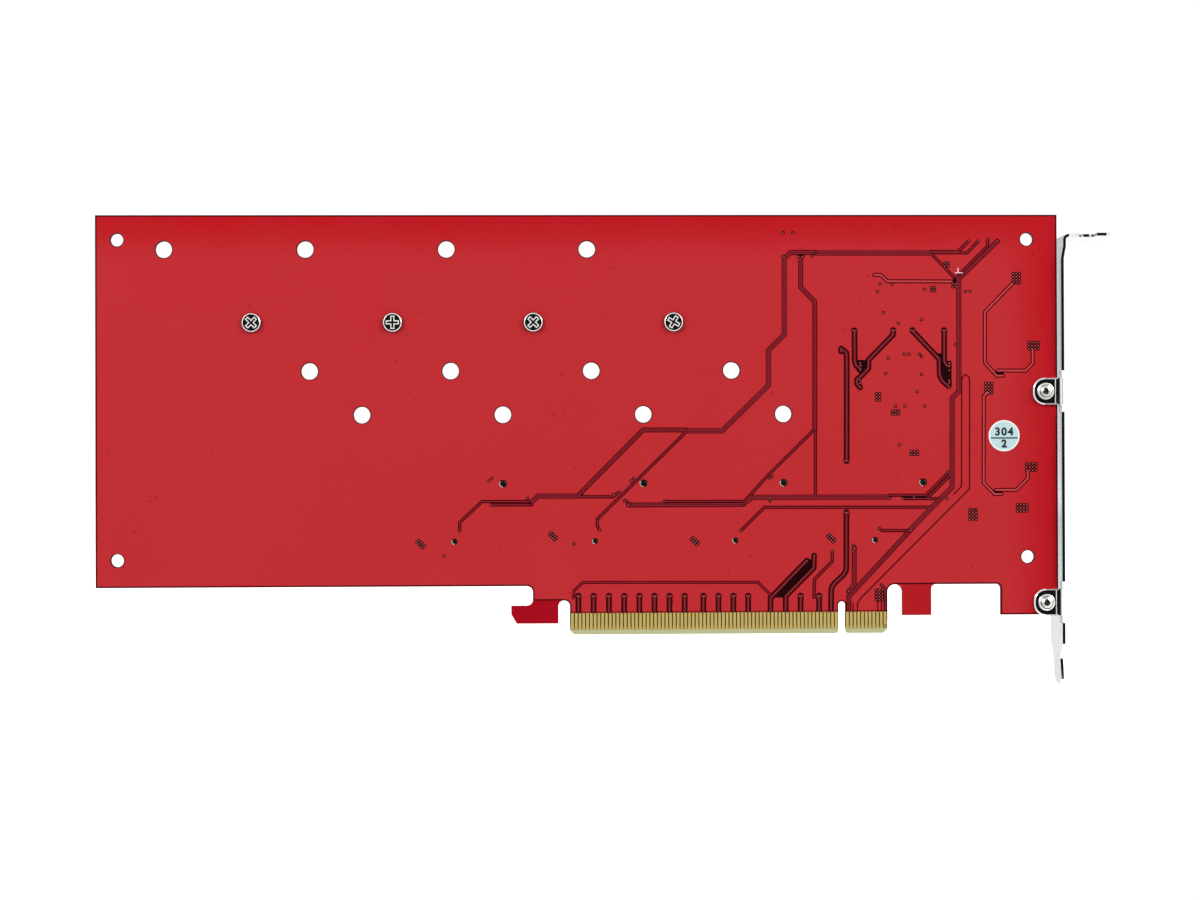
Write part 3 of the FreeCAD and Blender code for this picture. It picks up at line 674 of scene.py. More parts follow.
def sky():
    """White studio, dark behind the camera, so that metal that faces it is dark."""
    world = bpy.data.worlds.new("studio")
    bpy.context.scene.world = world
    world.use_nodes = True
    world.node_tree.nodes.clear()
    room = Nodes(world.node_tree)
    view = room.node("ShaderNodeTexCoord", output="Generated")
    depth = room.node("ShaderNodeSeparateXYZ", inputs=[view], output="Y")
    level = (depth.ramp(dark_until, bright_from, sky_front, sky_side)
             * depth.ramp(bright_until, dim_from, 1.0, sky_back / sky_side))
    seen = room.node("ShaderNodeLightPath", output="Is Camera Ray")
    strength = room.node("ShaderNodeMix", inputs={0: seen, 2: level, 3: backdrop_white})
    background = room.node("ShaderNodeBackground",
                           inputs={"Color": (1, 1, 1), "Strength": strength})
    room.feed(room.tree.nodes.new("ShaderNodeOutputWorld").inputs[0], background)


def lamps():
    for name, (place, size, power) in softboxes.items():
        light = bpy.data.lights.new(name, "AREA")
        light.shape = "DISK"
        light.size = size
        light.energy = power
        lamp = bpy.data.objects.new(name, light)
        bpy.context.collection.objects.link(lamp)
        lamp.location = place
        lamp.rotation_euler = (card_middle - Vector(place)).to_track_quat("-Z", "Y").to_euler()


studio()
floor()
sky()
lamps()

# ---------------------------------------------------------------- tracks of the solder side
# A style is the width of the bare gap, the width of a track, how many tracks lie side by side
# and their pitch, in millimetres, and the finishes of track and gap. Lanes are the tracks of
# the component side.
track_styles = {
    "narrow": (0.92, 0.22, 1, 0.0, core_purple, gap_dark),
    "pair": (1.35, 0.22, 2, 0.44, core_purple, bundle_bare),
    "triple": (1.42, 0.20, 3, 0.37, core_purple, bundle_bare),
    "supply": (1.10, 0.40, 1, 0.0, core_red, gap_dark),
    "pale": (0.80, 0.20, 1, 0.0, core_purple, gap_dark),
    "power": (1.55, 0.50, 1, 0.0, core_power, bare_gap_and_shadow),
    "line": (0.36, 0.0, 0, 0.0, core_purple, gap_dark),
    "lane": (0.62, 0.13, 2, 0.26, core_purple, gap_dark),
}

# Runs of the tracks by style, as pixels of the photograph
track_runs = {
    "triple": [
        [(930, 250.8), (815, 251.2)],
        [(783.6, 256), (783.6, 334), (767.8, 349.8), (767.8, 385.5), (722, 431.3), (687, 431.3)],
        [(958, 275), (958, 391), (951.3, 398), (951.3, 488.5), (930, 510), (910, 531)],
        [(888, 498.3), (752, 498.6), (743.5, 504.5)],
        [(582, 497.2), (539.5, 497.2), (532.5, 504)],
    ],
    "pair": [
        [(815, 250.6), (790, 250.8), (784, 256.5)],
        [(687, 430.4), (643.5, 430.4), (580, 496)],
        [(997, 238.4), (959.5, 275.5)],
        [(912, 529.3), (848.3, 599), (848.3, 614)],
        [(800, 255), (800, 286), (814, 300.7), (814, 430)],
        [(743.5, 505.6), (629, 506.2)],
        [(853.6, 549), (853.6, 588), (848, 594)],
    ],
    "narrow": [
        [(687, 431.5), (598.3, 520.5), (598.3, 527.5), (600.7, 531.5)],
        [(968.2, 238.4), (957.3, 249.3), (930, 249.3)],
        [(977.8, 238.4), (966.5, 250.4), (930, 250.6)],
        [(931, 252), (953.5, 275.5)],
        [(987.3, 237.2), (987.3, 243.5), (957, 274)],
        [(814.6, 430), (814.6, 497)],
        [(812.5, 431), (767, 476.8), (743.5, 503.5)],
        [(888, 496.6), (925, 496.6), (946.5, 474.5)],
        [(902.5, 499.9), (926, 499.9), (948, 477.8)],
        [(929, 500), (941, 500)],
        [(743.5, 502.6), (664.5, 502.6)],
        [(631, 505.4), (625.5, 501.6)],
        [(582, 497.8), (613.5, 498), (620, 493.2)],
        [(533, 502.7), (484, 502.7), (461.8, 524), (461.8, 532)],
        [(533, 506), (493, 506.2)],
        [(931.5, 508.6), (764, 508.6), (741, 531.8)],
        [(878.5, 530), (881.5, 532.3), (909.5, 532.3)],
        [(831.6, 553), (831.6, 563.5), (814, 581.5), (813.6, 599.5), (817, 599.5)],
        [(881, 587.5), (884.6, 592), (885, 614)],
    ],
    "supply": [
        [(873.5, 273.2), (880, 273.2), (886.5, 279.6), (951, 279.6)],
        [(1012.5, 281), (984.2, 310.5), (984.2, 362), (996, 375.2), (1002.5, 375.2)],
        [(1032.3, 349), (1032.3, 362.5), (1025.5, 370), (997, 370)],
        [(987, 392), (983.1, 396), (983.1, 484), (994, 495.4), (1001, 495.4)],
        [(1027.5, 472), (1027.5, 479.5), (1016, 491.2), (995.5, 491.2)],
    ],
    "line": [
        [(968.8, 379), (968.8, 490), (861, 600), (857, 606), (857, 614)],
        [(960.8, 379), (960.8, 487.5), (953, 495.5)],
        [(960.8, 380), (961.8, 376.2), (964.8, 374), (967.8, 376.2), (968.8, 380)],
        [(852.6, 606), (852.6, 614)],
        [(877.3, 604), (877.3, 614)],
        [(881, 604), (881, 614)],
    ],
    "pale": [
        [(770.5, 597.5), (758, 584.5), (584, 584.5), (575.2, 593), (574.6, 600)],
    ],
    "power": [
        [(845.7, 514), (845.7, 572), (843, 577), (833.5, 586), (830.8, 591), (830.6, 614)],
        [(840.3, 348), (840.3, 351)],
        [(840.6, 349.8), (843, 349.9), (845.4, 352.5), (845.8, 356), (845.8, 461.5)],
        [(853.6, 330), (853.8, 361), (855.5, 365.5), (859, 368)],
        [(892.3, 329.5), (892, 334), (867.6, 359.5), (867.4, 368), (860, 376), (856, 379.5),
         (856.3, 384), (859.3, 387.5)],
        [(911.5, 330), (938.4, 358.5), (938.8, 375), (941.5, 380.5), (947.8, 386)],
        [(943.3, 330), (943.3, 360.5), (945, 364), (948.2, 366)],
        [(770.3, 614), (770.3, 600.5), (806.5, 562.5)],
        [(785.4, 614), (785.4, 598.5), (813.2, 570), (813.6, 557.5)],
    ],
}

# Tracks with a capsule head: their x, and the y of heads and feet, in pixels
bone_pixels = (579.6, 594.7, 609.9, 625.0, 640.1, 655.1, 670.0,
               685.0, 703.6, 718.6, 733.4, 748.1, 800.3, 818.7)
bone_head_y = 598.3
bone_foot_y = 614.0

# Dark fields without copper between tracks
bare_fields = [
    [(775, 600), (783, 600), (812, 571), (811, 561.5), (808, 561)],
    [(856, 359.5), (866.5, 359.5), (866.5, 369), (859.5, 374.5), (855, 369.5)],
    [(856, 376), (860, 379), (861, 386), (857, 385)],
    [(937, 352.5), (942, 352.5), (942.5, 360), (950.6, 360), (950.8, 386.5), (947.5, 388.8),
     (941, 381), (939, 372)],
    [(901, 496.5), (926, 496.5), (927, 501), (901, 501)],
    [(993, 371), (1003, 371), (1003, 374.4), (996, 374.4)],
    [(992.5, 491), (1002, 492), (1001.5, 494.4), (994.5, 494.4)],
    [(796.5, 253), (804, 253), (804, 256.2), (796.5, 256.2)],
    [(952, 275.5), (957, 277.5), (957.5, 281), (953, 281)],
]

# Single vias
via_pixels = [
    (782.5, 230.5), (792.3, 230.5), (968.2, 238.4), (977.8, 238.4), (987.3, 237.2), (997, 238.4),
    (782.2, 254.6), (797.6, 254.8), (802, 254.8), (811, 254.4), (879, 282.3), (891, 282.6),
    (876.6, 290.3), (882.4, 311.5), (897.5, 322.3), (920.5, 318.5), (887.4, 357.6), (884.6, 373),
    (903.3, 353.5), (908, 353.5), (918.5, 353.5), (920.5, 356), (920.5, 374), (916, 391.5),
    (904, 406.5), (924, 406), (898.5, 445.5), (954.6, 343.5), (894.5, 406.4), (923.5, 287.6),
    (964.8, 289.6), (969.4, 289.6), (769, 479), (771.8, 477.6), (769.2, 499.2), (769.6, 502.2),
    (888.6, 499.8), (902.4, 500), (913, 498.4), (928.8, 500), (946.8, 472.8), (947.6, 477.8),
    (740.6, 532), (664.4, 502.6), (628.6, 506.4), (625.3, 501.8), (614.4, 496), (620, 493.3),
    (600.6, 531.4), (598.4, 523), (529, 499.4), (493, 506.2), (461.8, 532.2), (491, 482),
    (493.6, 479.2), (631.4, 482), (634, 479.2), (446.5, 557.6), (575, 545.5), (878.6, 530),
    (831.6, 553.2), (852.8, 547), (853.8, 550.4), (852, 553.6), (851, 588.4), (848, 594.2),
    (859, 362.5), (859.8, 365.2), (859.4, 369.6), (859.2, 380), (859.2, 383), (859.4, 387.6),
    (948.4, 362.4), (948.6, 365.2), (948.2, 369.6), (948.2, 380), (948.4, 382.4), (948, 387),
    (806.4, 562.4), (813.6, 557.4), (881.2, 587.6), (946.4, 500.2), (910.4, 532.4),
]

# Capsule heads of two vias each, at the ends of the power tracks, and whether they lie flat
capsule_pixels = [
    ((853.4, 329.8), True), ((892.2, 329.4), True), ((911.6, 329.4), True), ((943.2, 329.2), True),
    ((845.7, 461.6), True), ((845.7, 514), True), ((840.3, 349.8), False),
]

# Via fields: middle, columns, rows and turn in degrees
via_fields = [
    ((1016, 276), 3, 4, 0), ((1033.2, 344.6), 4, 3, 0), ((988, 388), 3, 4, 0),
    ((1031, 468), 4, 3, 0), ((972.4, 516), 3, 4, 0), ((1022, 509.5), 4, 3, 0),
    ((878.8, 597.6), 3, 4, 0), ((946, 262.3), 2, 2, 0), ((953.6, 283.4), 2, 2, 0),
    ((932.2, 287.5), 2, 2, 0), ((877, 397), 2, 3, 0), ((894.5, 412.6), 3, 2, 0),
    ((913.4, 453.6), 3, 2, 0), ((423, 545.8), 4, 2, 45), ((554.4, 537.8), 4, 2, 45),
    ((695, 542.8), 4, 2, 45), ((830.6, 540), 4, 2, 45),
]
via_field_pitch = 0.86 * mm
slanted_field_pitch = 0.66 * mm
pale_marks = [[(954.6, 270.8), (961.6, 270.8)], [(957.4, 266.2), (957.4, 270.2)]]
pale_mark_width = 0.22 * mm

# Heights above the board. Where fields overlap, each has its own height.
gap_lift = 0.010 * mm
head_lift = 0.011 * mm
print_lift = 0.012 * mm
field_lift = 0.0125 * mm
rim_lift = 0.013 * mm
crescent_highlight_lift = 0.016 * mm
track_lift = 0.018 * mm
mark_lift = 0.0216 * mm

via_sides = 14
via_radius = 0.46 * mm
via_dot_radius = 0.20 * mm
field_dot_radius = 0.17 * mm
collar_radius = 0.88 * mm
capsule_half = 0.36 * mm
disc_slope, disc_rise = 0.2, 0.1
cap_steps = 6
arc_steps = 6
copper_margin = 0.20 * mm

# Edge of the copper as (x, z, corner radius) in millimetres: up the contacts' left end, round
# the board and back over the contacts
copper_low, border_low = 5.6, 5.95
hook_left, hook_top, foot_left, foot_low = -81.93, 9.05, 42.4, 4.7
copper_edge = [
    (fingers_left, copper_low, 0), (fingers_left, hook_top, 1.5), (hook_left, hook_top, 0),
    (hook_left, board_bottom, 1.6), (board_left, board_bottom, 0), (board_left, board_top, 0),
    (board_right, board_top, 0), (board_right, foot_low, 0), (foot_left, foot_low, 0),
    (foot_left, board_bottom, 1.2), (fingers_right, board_bottom, 1.95),
    (fingers_right, copper_low, 0),
]
key_half_width, key_top, key_radius = 0.95, 8.45, 0.94
key_edge = [(key_half_width, copper_low, 0), (key_half_width, key_top, key_radius),
            (-key_half_width, key_top, key_radius), (-key_half_width, copper_low, 0)]
contact_edges = [(fingers_right, key_half_width), (-key_half_width, fingers_left)]


def beside(run, distance):
    """The run moved sideways by a distance, with mitred corners."""
    moved = []
    last = len(run) - 1
    for index, point in enumerate(run):
        here = Vector(point)
        arriving = (here - Vector(run[index - 1])).normalized() if index else None
        leaving = (Vector(run[index + 1]) - here).normalized() if index < last else None
        arriving = arriving or leaving
        leaving = leaving or arriving
        middle = (arriving + leaving).normalized()
        side = Vector((-middle.y, middle.x))
        moved.append(tuple(here + side * (distance / max(middle.dot(leaving), 0.5))))
    return moved


def strip_outline(run, width):
    """Outline of a flat strip along a run, with half round ends."""
    half = width / 2
    outline = beside(run, half)
    for tip, before, other in ((run[-1], run[-2], -half), (run[0], run[1], half)):
        onward = (Vector(tip) - Vector(before)).normalized()
        side = Vector((-onward.y, onward.x))
        for step in range(1, cap_steps):
            turn = math.pi * step / cap_steps
            out = side * (half * math.cos(turn)) + onward * (half * math.sin(turn))
            outline.append(tuple(Vector(tip) + out))
        if other < 0:
            outline += reversed(beside(run, other))
    return outline


def arc(x, z, radius, start=0, end=360, steps=20):
    """Run (x, z) round a middle, between two angles in degrees."""
    turns = [math.radians(start + (end - start) * step / steps) for step in range(steps + 1)]
    return [(x + radius * math.cos(turn), z + radius * math.sin(turn)) for turn in turns]


def rounded_run(corners):
    """Run (x, z) through corners (x, z, radius) in millimetres, with an arc at each radius."""
    run = []
    last = len(corners) - 1
    for index, (x, z, radius) in enumerate(corners):
        here = Vector((x, z)) * mm
        if not radius or index in (0, last):
            run.append(tuple(here))
            continue
        back = (Vector(corners[index - 1][:2]) * mm - here).normalized()
        on = (Vector(corners[index + 1][:2]) * mm - here).normalized()
        half = math.acos(max(-1, min(1, back.dot(on)))) / 2
        centre = here + (back + on).normalized() * (radius * mm / math.sin(half))
        start = here + back * (radius * mm / math.tan(half)) - centre
        sweep = (math.pi - 2 * half) * (1 if back.cross(on) < 0 else -1)
        for step in range(arc_steps + 1):
            turn = sweep * step / arc_steps
            run.append((centre.x + start.x * math.cos(turn) - start.y * math.sin(turn),
                        centre.y + start.x * math.sin(turn) + start.y * math.cos(turn)))
    return run


def flat_field(outline, lift, face, finish):
    """Low flat field with an outline (x, z) on one face of the board."""
    clear_selection()
    bpy.ops.curve.primitive_bezier_circle_add()
    field = bpy.context.object
    line = field.data
    line.splines.clear()
    spline = line.splines.new("POLY")
    spline.points.add(len(outline) - 1)
    for point, (x, z) in zip(spline.points, outline):
        point.co = (x, z, 0, 1)
    spline.use_cyclic_u = True
    line.dimensions = "2D"
    line.fill_mode = "BOTH"
    line.extrude = lift
    make_active(field)
    bpy.ops.object.convert(target="MESH")
    field.matrix_world = Matrix.Translation((0, face, 0)) @ to_rear
    settle(field)
    return dress(field, finish)


def ribbons(runs, width, lift, face, finish):
    """Flat strips with round ends along runs (x, z) on one face of the board."""
    return fuse([flat_field(strip_outline(run, width), lift, face, finish) for run in runs])


def via_model(ring, dot, dot_radius):
    """Round pad that faces the solder side, with a raised lighter middle over its bore."""
    pad = dress(cylinder(via_sides, via_radius, 2 * gap_lift), ring, dot)
    inset_faces(pad, on_top, (via_radius - dot_radius, track_lift - gap_lift))
    paint_faces(pad, 1)
    pad.data.transform(to_rear)
    return pad


def disc_model(finish, radius, lift, sides):
    """Low round field with a sloping rim, which faces the solder side."""
    disc = dress(cylinder(sides, radius, 2 * lift), finish)
    inset_faces(disc, on_top, (radius * disc_slope, lift * disc_rise))
    disc.data.transform(to_rear)
    return disc


def spot(pixel):
    x, z = on_board(pixel)
    return Matrix.Translation((x, rear_face, z))


def field_places(pixel, columns, rows, turn):
    """Places of the vias of one via field."""
    pitch = slanted_field_pitch if turn else via_field_pitch
    middle = spot(pixel) @ turned(turn)
    return [middle @ Matrix.Translation(((column - (columns - 1) / 2) * pitch, 0,
                                         (row - (rows - 1) / 2) * pitch))
            for column in range(columns) for row in range(rows)]


def through_board(place):
    """The same place on the component side, turned to face it."""
    return Matrix.Translation((0, front_face - rear_face, 0)) @ place @ half_turn


def lay_tracks(runs, face, prefix, fields=()):
    """Bare gaps with the tracks in them, from runs (x, z) by style, and bare fields."""
    gaps, tracks = [], []
    for style, group in runs.items():
        gap, width, count, pitch, core, bare = track_styles[style]
        gaps.append(ribbons(group, gap * mm, gap_lift, face, bare))
        sides = [(number - (count - 1) / 2) * pitch * mm for number in range(count)]
        if sides:
            lines = [beside(run, side) for run in group for side in sides]
            tracks.append(ribbons(lines, width * mm, track_lift, face, core))
    gaps += [flat_field(outline, field_lift, face, gap_black) for outline in fields]
    add_piece(fuse(gaps), prefix + "_gaps")
    add_piece(fuse(tracks), prefix + "_tracks")


def copper_border(face, prefix):
    """Dark line of bare mask between the copper and the edge of the board."""
    edges = [beside(rounded_run(edge), -copper_margin) for edge in (copper_edge, key_edge)]
    over_contacts = [[(x * mm, border_low * mm) for x in ends] for ends in contact_edges]
    pieces = [ribbons(edges, 2 * copper_margin, gap_lift, face, border_dark),
              ribbons(over_contacts, copper_margin, gap_lift, face, border_dark)]
    add_piece(fuse(pieces), prefix + "_border")


def solder_side():
    runs = {style: [[on_board(pixel) for pixel in run] for run in group]
            for style, group in track_runs.items()}
    runs["power"] += [[on_board((x, y)) for y in (bone_head_y, bone_foot_y)] for x in bone_pixels]
    fields = [[on_board(pixel) for pixel in outline] for outline in bare_fields]
    lay_tracks(runs, rear_face, "solder_side", fields)
    copper_border(rear_face, "solder_side")
    copper_border(front_face, "component_side")
    heads = capsule_pixels + [((x, bone_head_y), True) for x in bone_pixels]
    collar = disc_model(bare_gap_and_shadow, collar_radius, head_lift, via_sides)
    add_piece(lay_out(collar, [spot(pixel) for pixel, _ in heads]), "track_heads")
    marks = [[on_board(pixel) for pixel in line] for line in pale_marks]
    marks = ribbons(marks, pale_mark_width, mark_lift, rear_face, legend_white)
    add_piece(marks, "corner_mark")
    singles = [spot(pixel) for pixel in via_pixels]
    for pixel, flat in heads:
        step = Vector((capsule_half, 0, 0)) if flat else Vector((0, 0, capsule_half))
        singles += [Matrix.Translation(step * side) @ spot(pixel) for side in (-1, 1)]
    grouped = [place for field in via_fields for place in field_places(*field)]
    vias = lay_out(via_model(gap_black, via_dot, via_dot_radius), singles)
    fields = lay_out(via_model(gap_black, field_dot, field_dot_radius), grouped)
    add_piece(fuse([vias, fields]), "solder_side_vias")
    through = [through_board(place) for place in singles + grouped]
    vias = lay_out(via_model(gap_dark, via_dot, via_dot_radius), through)
    add_piece(vias, "component_side_vias")


solder_side()

# ---------------------------------------------------------------- screws, bracket and sticker
edge_break = 0.05 * mm
ear_face = rear_face - 0.86 * mm
ear_rim = 0.34 * mm
ear_rim_drop = 0.30 * mm
ear_screw_x = 54.5 * mm
ear_screw_reach = 2.0 * mm
ear_middles_z = (64.1 * mm, 7.95 * mm)
fold_crease = 0.05 * mm
# Painted highlight along the crease of each ear's fold: its x, half length and width
fold_highlight_x = 57.15 * mm
fold_highlight_half = 3.1 * mm
fold_highlight_width = 0.24 * mm
tolerance = 0.02 * mm

# Narrow edges of the reliefs above and below each ear, which are painted pale as painted highlight
ear_half = 3.2 * mm
relief_reach = 8.0 * mm
relief_left = 58.4 * mm
relief_front = -2.2 * mm

# Faces larger than these are shaded flat, and painted as inner or outer face
flat_area = 2.5 * mm * mm
painted_area = 0.5 * mm * mm
even_weight = 95

head_sides = 40
shank_sides = 24
shank_chamfer = 0.2 * mm
recess_clear = 0.02 * mm
recess_floor_share = 0.9
rear_head_radius = 2.45 * mm
rear_head_height = 0.8 * mm
rear_head_rim = 0.24 * mm
rear_head_rim_drop = 0.192 * mm
rear_head_gap_and_shadow = 0.14 * mm
rear_recess = (2.9 * mm, 0.50 * mm, 0.10 * mm, 0.45 * mm)
rear_recess_turns = (45, 0, 45, 30)
drive_screw_turn = 15
# Mark round the cross recess, which on the black screws is wear with painted highlight: its size,
# width and lifts
cross_mark_size = (3.2 * mm, 0.80 * mm)
cross_mark_width = 0.28 * mm
cross_mark_lifts = (gap_lift, print_lift)
pan_head_radius = 2.225 * mm
pan_head_height = 1.6 * mm
pan_crown = ((0.12, 0.06), (0.36, 0.38), (0.10, 0.0), (0.34, 0.28), (0.32, 0.22), (0.25, 0.12))
pan_recess = (1.6 * mm, 0.62 * mm, 0.16 * mm, 0.7 * mm)
pan_recess_turn = 25
pan_head_turns = (0, 14)

# Radius and length of the shanks
standoff_shank = (1.22 * mm, 2.2 * mm)
drive_shank = (1.22 * mm, 1.4 * mm)
ear_shank = (1.45 * mm, 5.6 * mm)


def rimmed_ears(bracket):
    """Slope the edge all round the front of each ear, and crease it where the fold starts."""
    inset_faces(bracket, lambda face: face.normal.y < -0.999
                and abs(face.center.y - ear_face) < tolerance, (ear_rim, 0))
    mesh = bracket.data
    inner = {number for face in mesh.polygons if face.select for number in face.vertices}
    fold_x = max(mesh.vertices[number].co.x for number in inner) + ear_rim
    for vertex in mesh.vertices:
        x, y, z = vertex.co
        near_screw = min(math.hypot(x - ear_screw_x, z - ear) for ear in ear_middles_z)
        if vertex.index in inner or abs(y - ear_face) > tolerance / 2:
            continue
        if near_screw > ear_screw_reach:
            vertex.co.y += fold_crease if x > fold_x - tolerance else ear_rim_drop


def beside_ear(face):
    """Whether a face is a narrow edge of the reliefs next to an ear."""
    away = min(abs(face.center.z - z) for z in ear_middles_z)
    return (face.normal.y < -0.9 and ear_half < away < relief_reach
            and face.center.x > relief_left and face.center.y > relief_front)


def softened(node, width, segments, slot, *finishes, shaped=None, smooth_angle=35):
    """Copy of a node with whole flat faces and rounded edges.

    Finishes after the first are those of the inner face, the outer face and the reliefs; on the
    bracket these faces carry painted shade and a painted highlight.
    """
    piece = node_copy(node, merged=True)
    if shaped:
        shaped(piece)
    bevel_edges(piece, width, segments, 50)
    smooth(piece, smooth_angle)
    edit_faces(piece, lambda face: face.area > flat_area)
    bpy.ops.mesh.faces_shade_flat()
    close_edit()
    modify(piece, "WEIGHTED_NORMAL", keep_sharp=True, weight=even_weight)
    dress(piece, *finishes)
    if len(finishes) > 1:
        paint_faces(piece, 1, lambda face: at_left(face) and face.area > painted_area)
        # The outer face takes the darker copy of the steel, as painted shade
        paint_faces(piece, 2, lambda face: face.normal.x > 0.9 and face.area > painted_area)
        # Painted highlight: the narrow relief edges beside the ears are painted pale
        paint_faces(piece, 3, beside_ear)
    add_piece(piece, node + "_finished", (node,))


def cross_outline(span, arm):
    half, side = span / 2, arm / 2
    return [(half, side), (side, side), (side, half), (-side, half), (-side, side), (-half, side),
            (-half, -side), (-side, -side), (-side, -half), (side, -half), (side, -side),
            (half, -side)]


def recut_normals(piece):
    edit_faces(piece, every_face)
    bpy.ops.mesh.remove_doubles(threshold=weld_reach / 2)
    bpy.ops.mesh.normals_make_consistent(inside=False)
    close_edit()


def cut_cross(head, height, turn, span, arm, slope, depth):
    """Cut a cross recess with sloping sides into a head that faces the solder side."""
    cutter = flat_field(cross_outline(span, arm), recess_clear, 0, head.data.materials[0])
    recut_normals(cutter)
    inset_faces(cutter, lambda face: face.normal.y > 0.9, (slope, depth))
    recut_normals(cutter)
    cutter.data.transform(Matrix.Translation((0, -height, 0)) @ turned(turn))
    cut_out(head, cutter)


def rear_screw(turn, body, edge, edge_mark):
    """Thin head with a bared rim, and a mark round its cross recess that on the black screws is
    wear with painted highlight.
    """
    head = cylinder(head_sides, rear_head_radius, rear_head_height, rear_head_height / 2)
    inset_faces(head, on_top, (rear_head_rim, 0))
    for vertex in head.data.vertices:
        outer = math.hypot(vertex.co.x, vertex.co.y) > rear_head_radius - tolerance
        if outer and vertex.co.z > rear_head_height - tolerance:
            vertex.co.z -= rear_head_rim_drop
    head.data.transform(to_rear)
    dress(head, body, edge)
    cut_cross(head, rear_head_height, turn, *rear_recess)
    floor_y = -rear_head_height + rear_recess[3] * recess_floor_share
    paint_faces(head, 1, lambda face: -0.97 < face.normal.y < -0.1 and face.center.y < floor_y)
    # Mark round the recess: wear with painted highlight on the black screws, bright metal on the
    # nickel ones
    cross = cross_outline(*cross_mark_size)
    left, right = (-cross_mark_size[0] / 2, 0), (cross_mark_size[0] / 2, 0)
    halves = [[right] + cross[:6] + [left], [left] + cross[6:] + [right]]
    cross_mark = fuse([ribbons([half], cross_mark_width, lift, -rear_head_height, edge_mark)
                 for half, lift in zip(halves, cross_mark_lifts)])
    cross_mark.data.transform(turned(turn))
    return fuse([head, cross_mark])


def pan_screw_head(turn):
    """Domed bright head with a cross recess."""
    height = pan_head_height - sum(rise for _, rise in pan_crown) * mm
    head = cylinder(head_sides, pan_head_radius, height, height / 2)
    inset_faces(head, on_top, *((step * mm, rise * mm) for step, rise in pan_crown))
    head.data.transform(to_rear)
    dress(head, nickel)
    cut_cross(head, pan_head_height, pan_recess_turn, *pan_recess)
    head.data.transform(turned(turn))
    return smooth(head, 40)


def shank(radius, length, finish):
    """Round shank that goes from the head's underside towards the component side."""
    bar = cylinder(shank_sides, radius, length, length / 2)
    bevel_edges(bar, shank_chamfer, 1)
    bar.data.transform(to_front)
    return dress(bar, finish)


def place_at(piece, box, y):
    """Set a piece down in the middle of a box, at a place along Y."""
    low, high = box
    piece.location = ((low.x + high.x) / 2, y, (low.z + high.z) / 2)
    return settle(piece)


def screws():
    heads = []
    for turn, box in zip(rear_recess_turns, solid_boxes("standoff_screws")):
        # Dark ring round each head: bare mask, with painted shadow where the head meets the board
        shadow_gap = disc_model(bare_gap_and_shadow, rear_head_radius + rear_head_gap_and_shadow, gap_lift, head_sides)
        parts = [rear_screw(turn, screw_black, bright_edge, highlight_and_wear_paint),
                 shank(*standoff_shank, screw_black), shadow_gap]
        heads += [place_at(part, box, rear_face) for part in parts]
    add_piece(fuse(heads), "rear_screws", ("standoff_screws",))
    heads = []
    for turn, box in zip(rear_recess_turns, solid_boxes("drive_screws")):
        whole = fuse([rear_screw(turn + drive_screw_turn, nickel, bright_edge, bright_edge),
                      shank(*drive_shank, nickel)])
        whole.data.transform(half_turn)
        heads.append(place_at(whole, box, box[1].y - rear_head_height))
    add_piece(fuse(heads), "drive_screws_finished", ("drive_screws",))
    heads = []
    ears = sorted(solid_boxes("bracket_screws"), key=lambda pair: -pair[0].z)
    for turn, box in zip(pan_head_turns, ears):
        for part in (pan_screw_head(turn), shank(*ear_shank, nickel)):
            heads.append(place_at(part, box, ear_face))
    add_piece(fuse(heads), "ear_screws", ("bracket_screws",))
    # Painted highlight: a pale line along the crease where each ear folds
    fold_highlights = [[(fold_highlight_x, z - fold_highlight_half), (fold_highlight_x, z + fold_highlight_half)]
             for z in ear_middles_z]
    fold_highlights = ribbons(fold_highlights, fold_highlight_width, gap_lift, ear_face, highlight_and_wear_paint)
    add_piece(fold_highlights, "ear_fold_highlights")


def print_text(text, size, x, z, face, finish, bold=0.0, spacing=1.0):
    """Flat printed characters centred on a place of one face of the card."""
    clear_selection()
    bpy.ops.object.text_add()
    words = bpy.context.object
    words.data.body = text
    words.data.size = size
    words.data.align_x = "CENTER"
    words.data.align_y = "CENTER"
    words.data.extrude = print_lift / 2
    words.data.offset = bold
    words.data.space_character = spacing
    words.data.resolution_u = 3
    make_active(words)
    bpy.ops.object.convert(target="MESH")
    facing = half_turn @ to_rear if face == front_face else to_rear
    words.matrix_world = Matrix.Translation((x, face, z)) @ facing
    settle(words)
    return dress(words, finish)


# Print of the sticker, in millimetres: text, size, height above its middle, boldness, spacing
label_lines = (("304", 2.9, 1.0, 0.12, 1.2), ("2", 2.8, -2.2, 0.14, 1.0))
label_rule = (-0.82, 0.84)
label_rule_z = -0.6 * mm
label_rule_width = 0.36 * mm
label_rule_lift = 0.006 * mm
label_rim = 0.05 * mm
label_sides = 64


def inspection_label():
    """Round paper label with a rim and a ruled line between plain numbers."""
    low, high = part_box("inspection_sticker")
    middle = (low + high) / 2
    radius = (high.x - low.x) / 2
    label = cylinder(label_sides, radius, high.y - low.y)
    inset_faces(label, on_top, (label_rim, 0))
    label.data.transform(Matrix.Translation(middle) @ to_rear)
    add_piece(dress(label, paper), "label_paper", ("inspection_sticker",))
    ruled = [[(middle.x + radius * end, middle.z + label_rule_z) for end in label_rule]]
    pieces = [ribbons(ruled, label_rule_width, label_rule_lift, low.y, ink)]
    for text, size, up, bold, spacing in label_lines:
        pieces.append(print_text(text, size * mm, middle.x, middle.z + up * mm, low.y, ink,
                                 bold * mm, spacing))
    add_piece(fuse(pieces), "label_print")


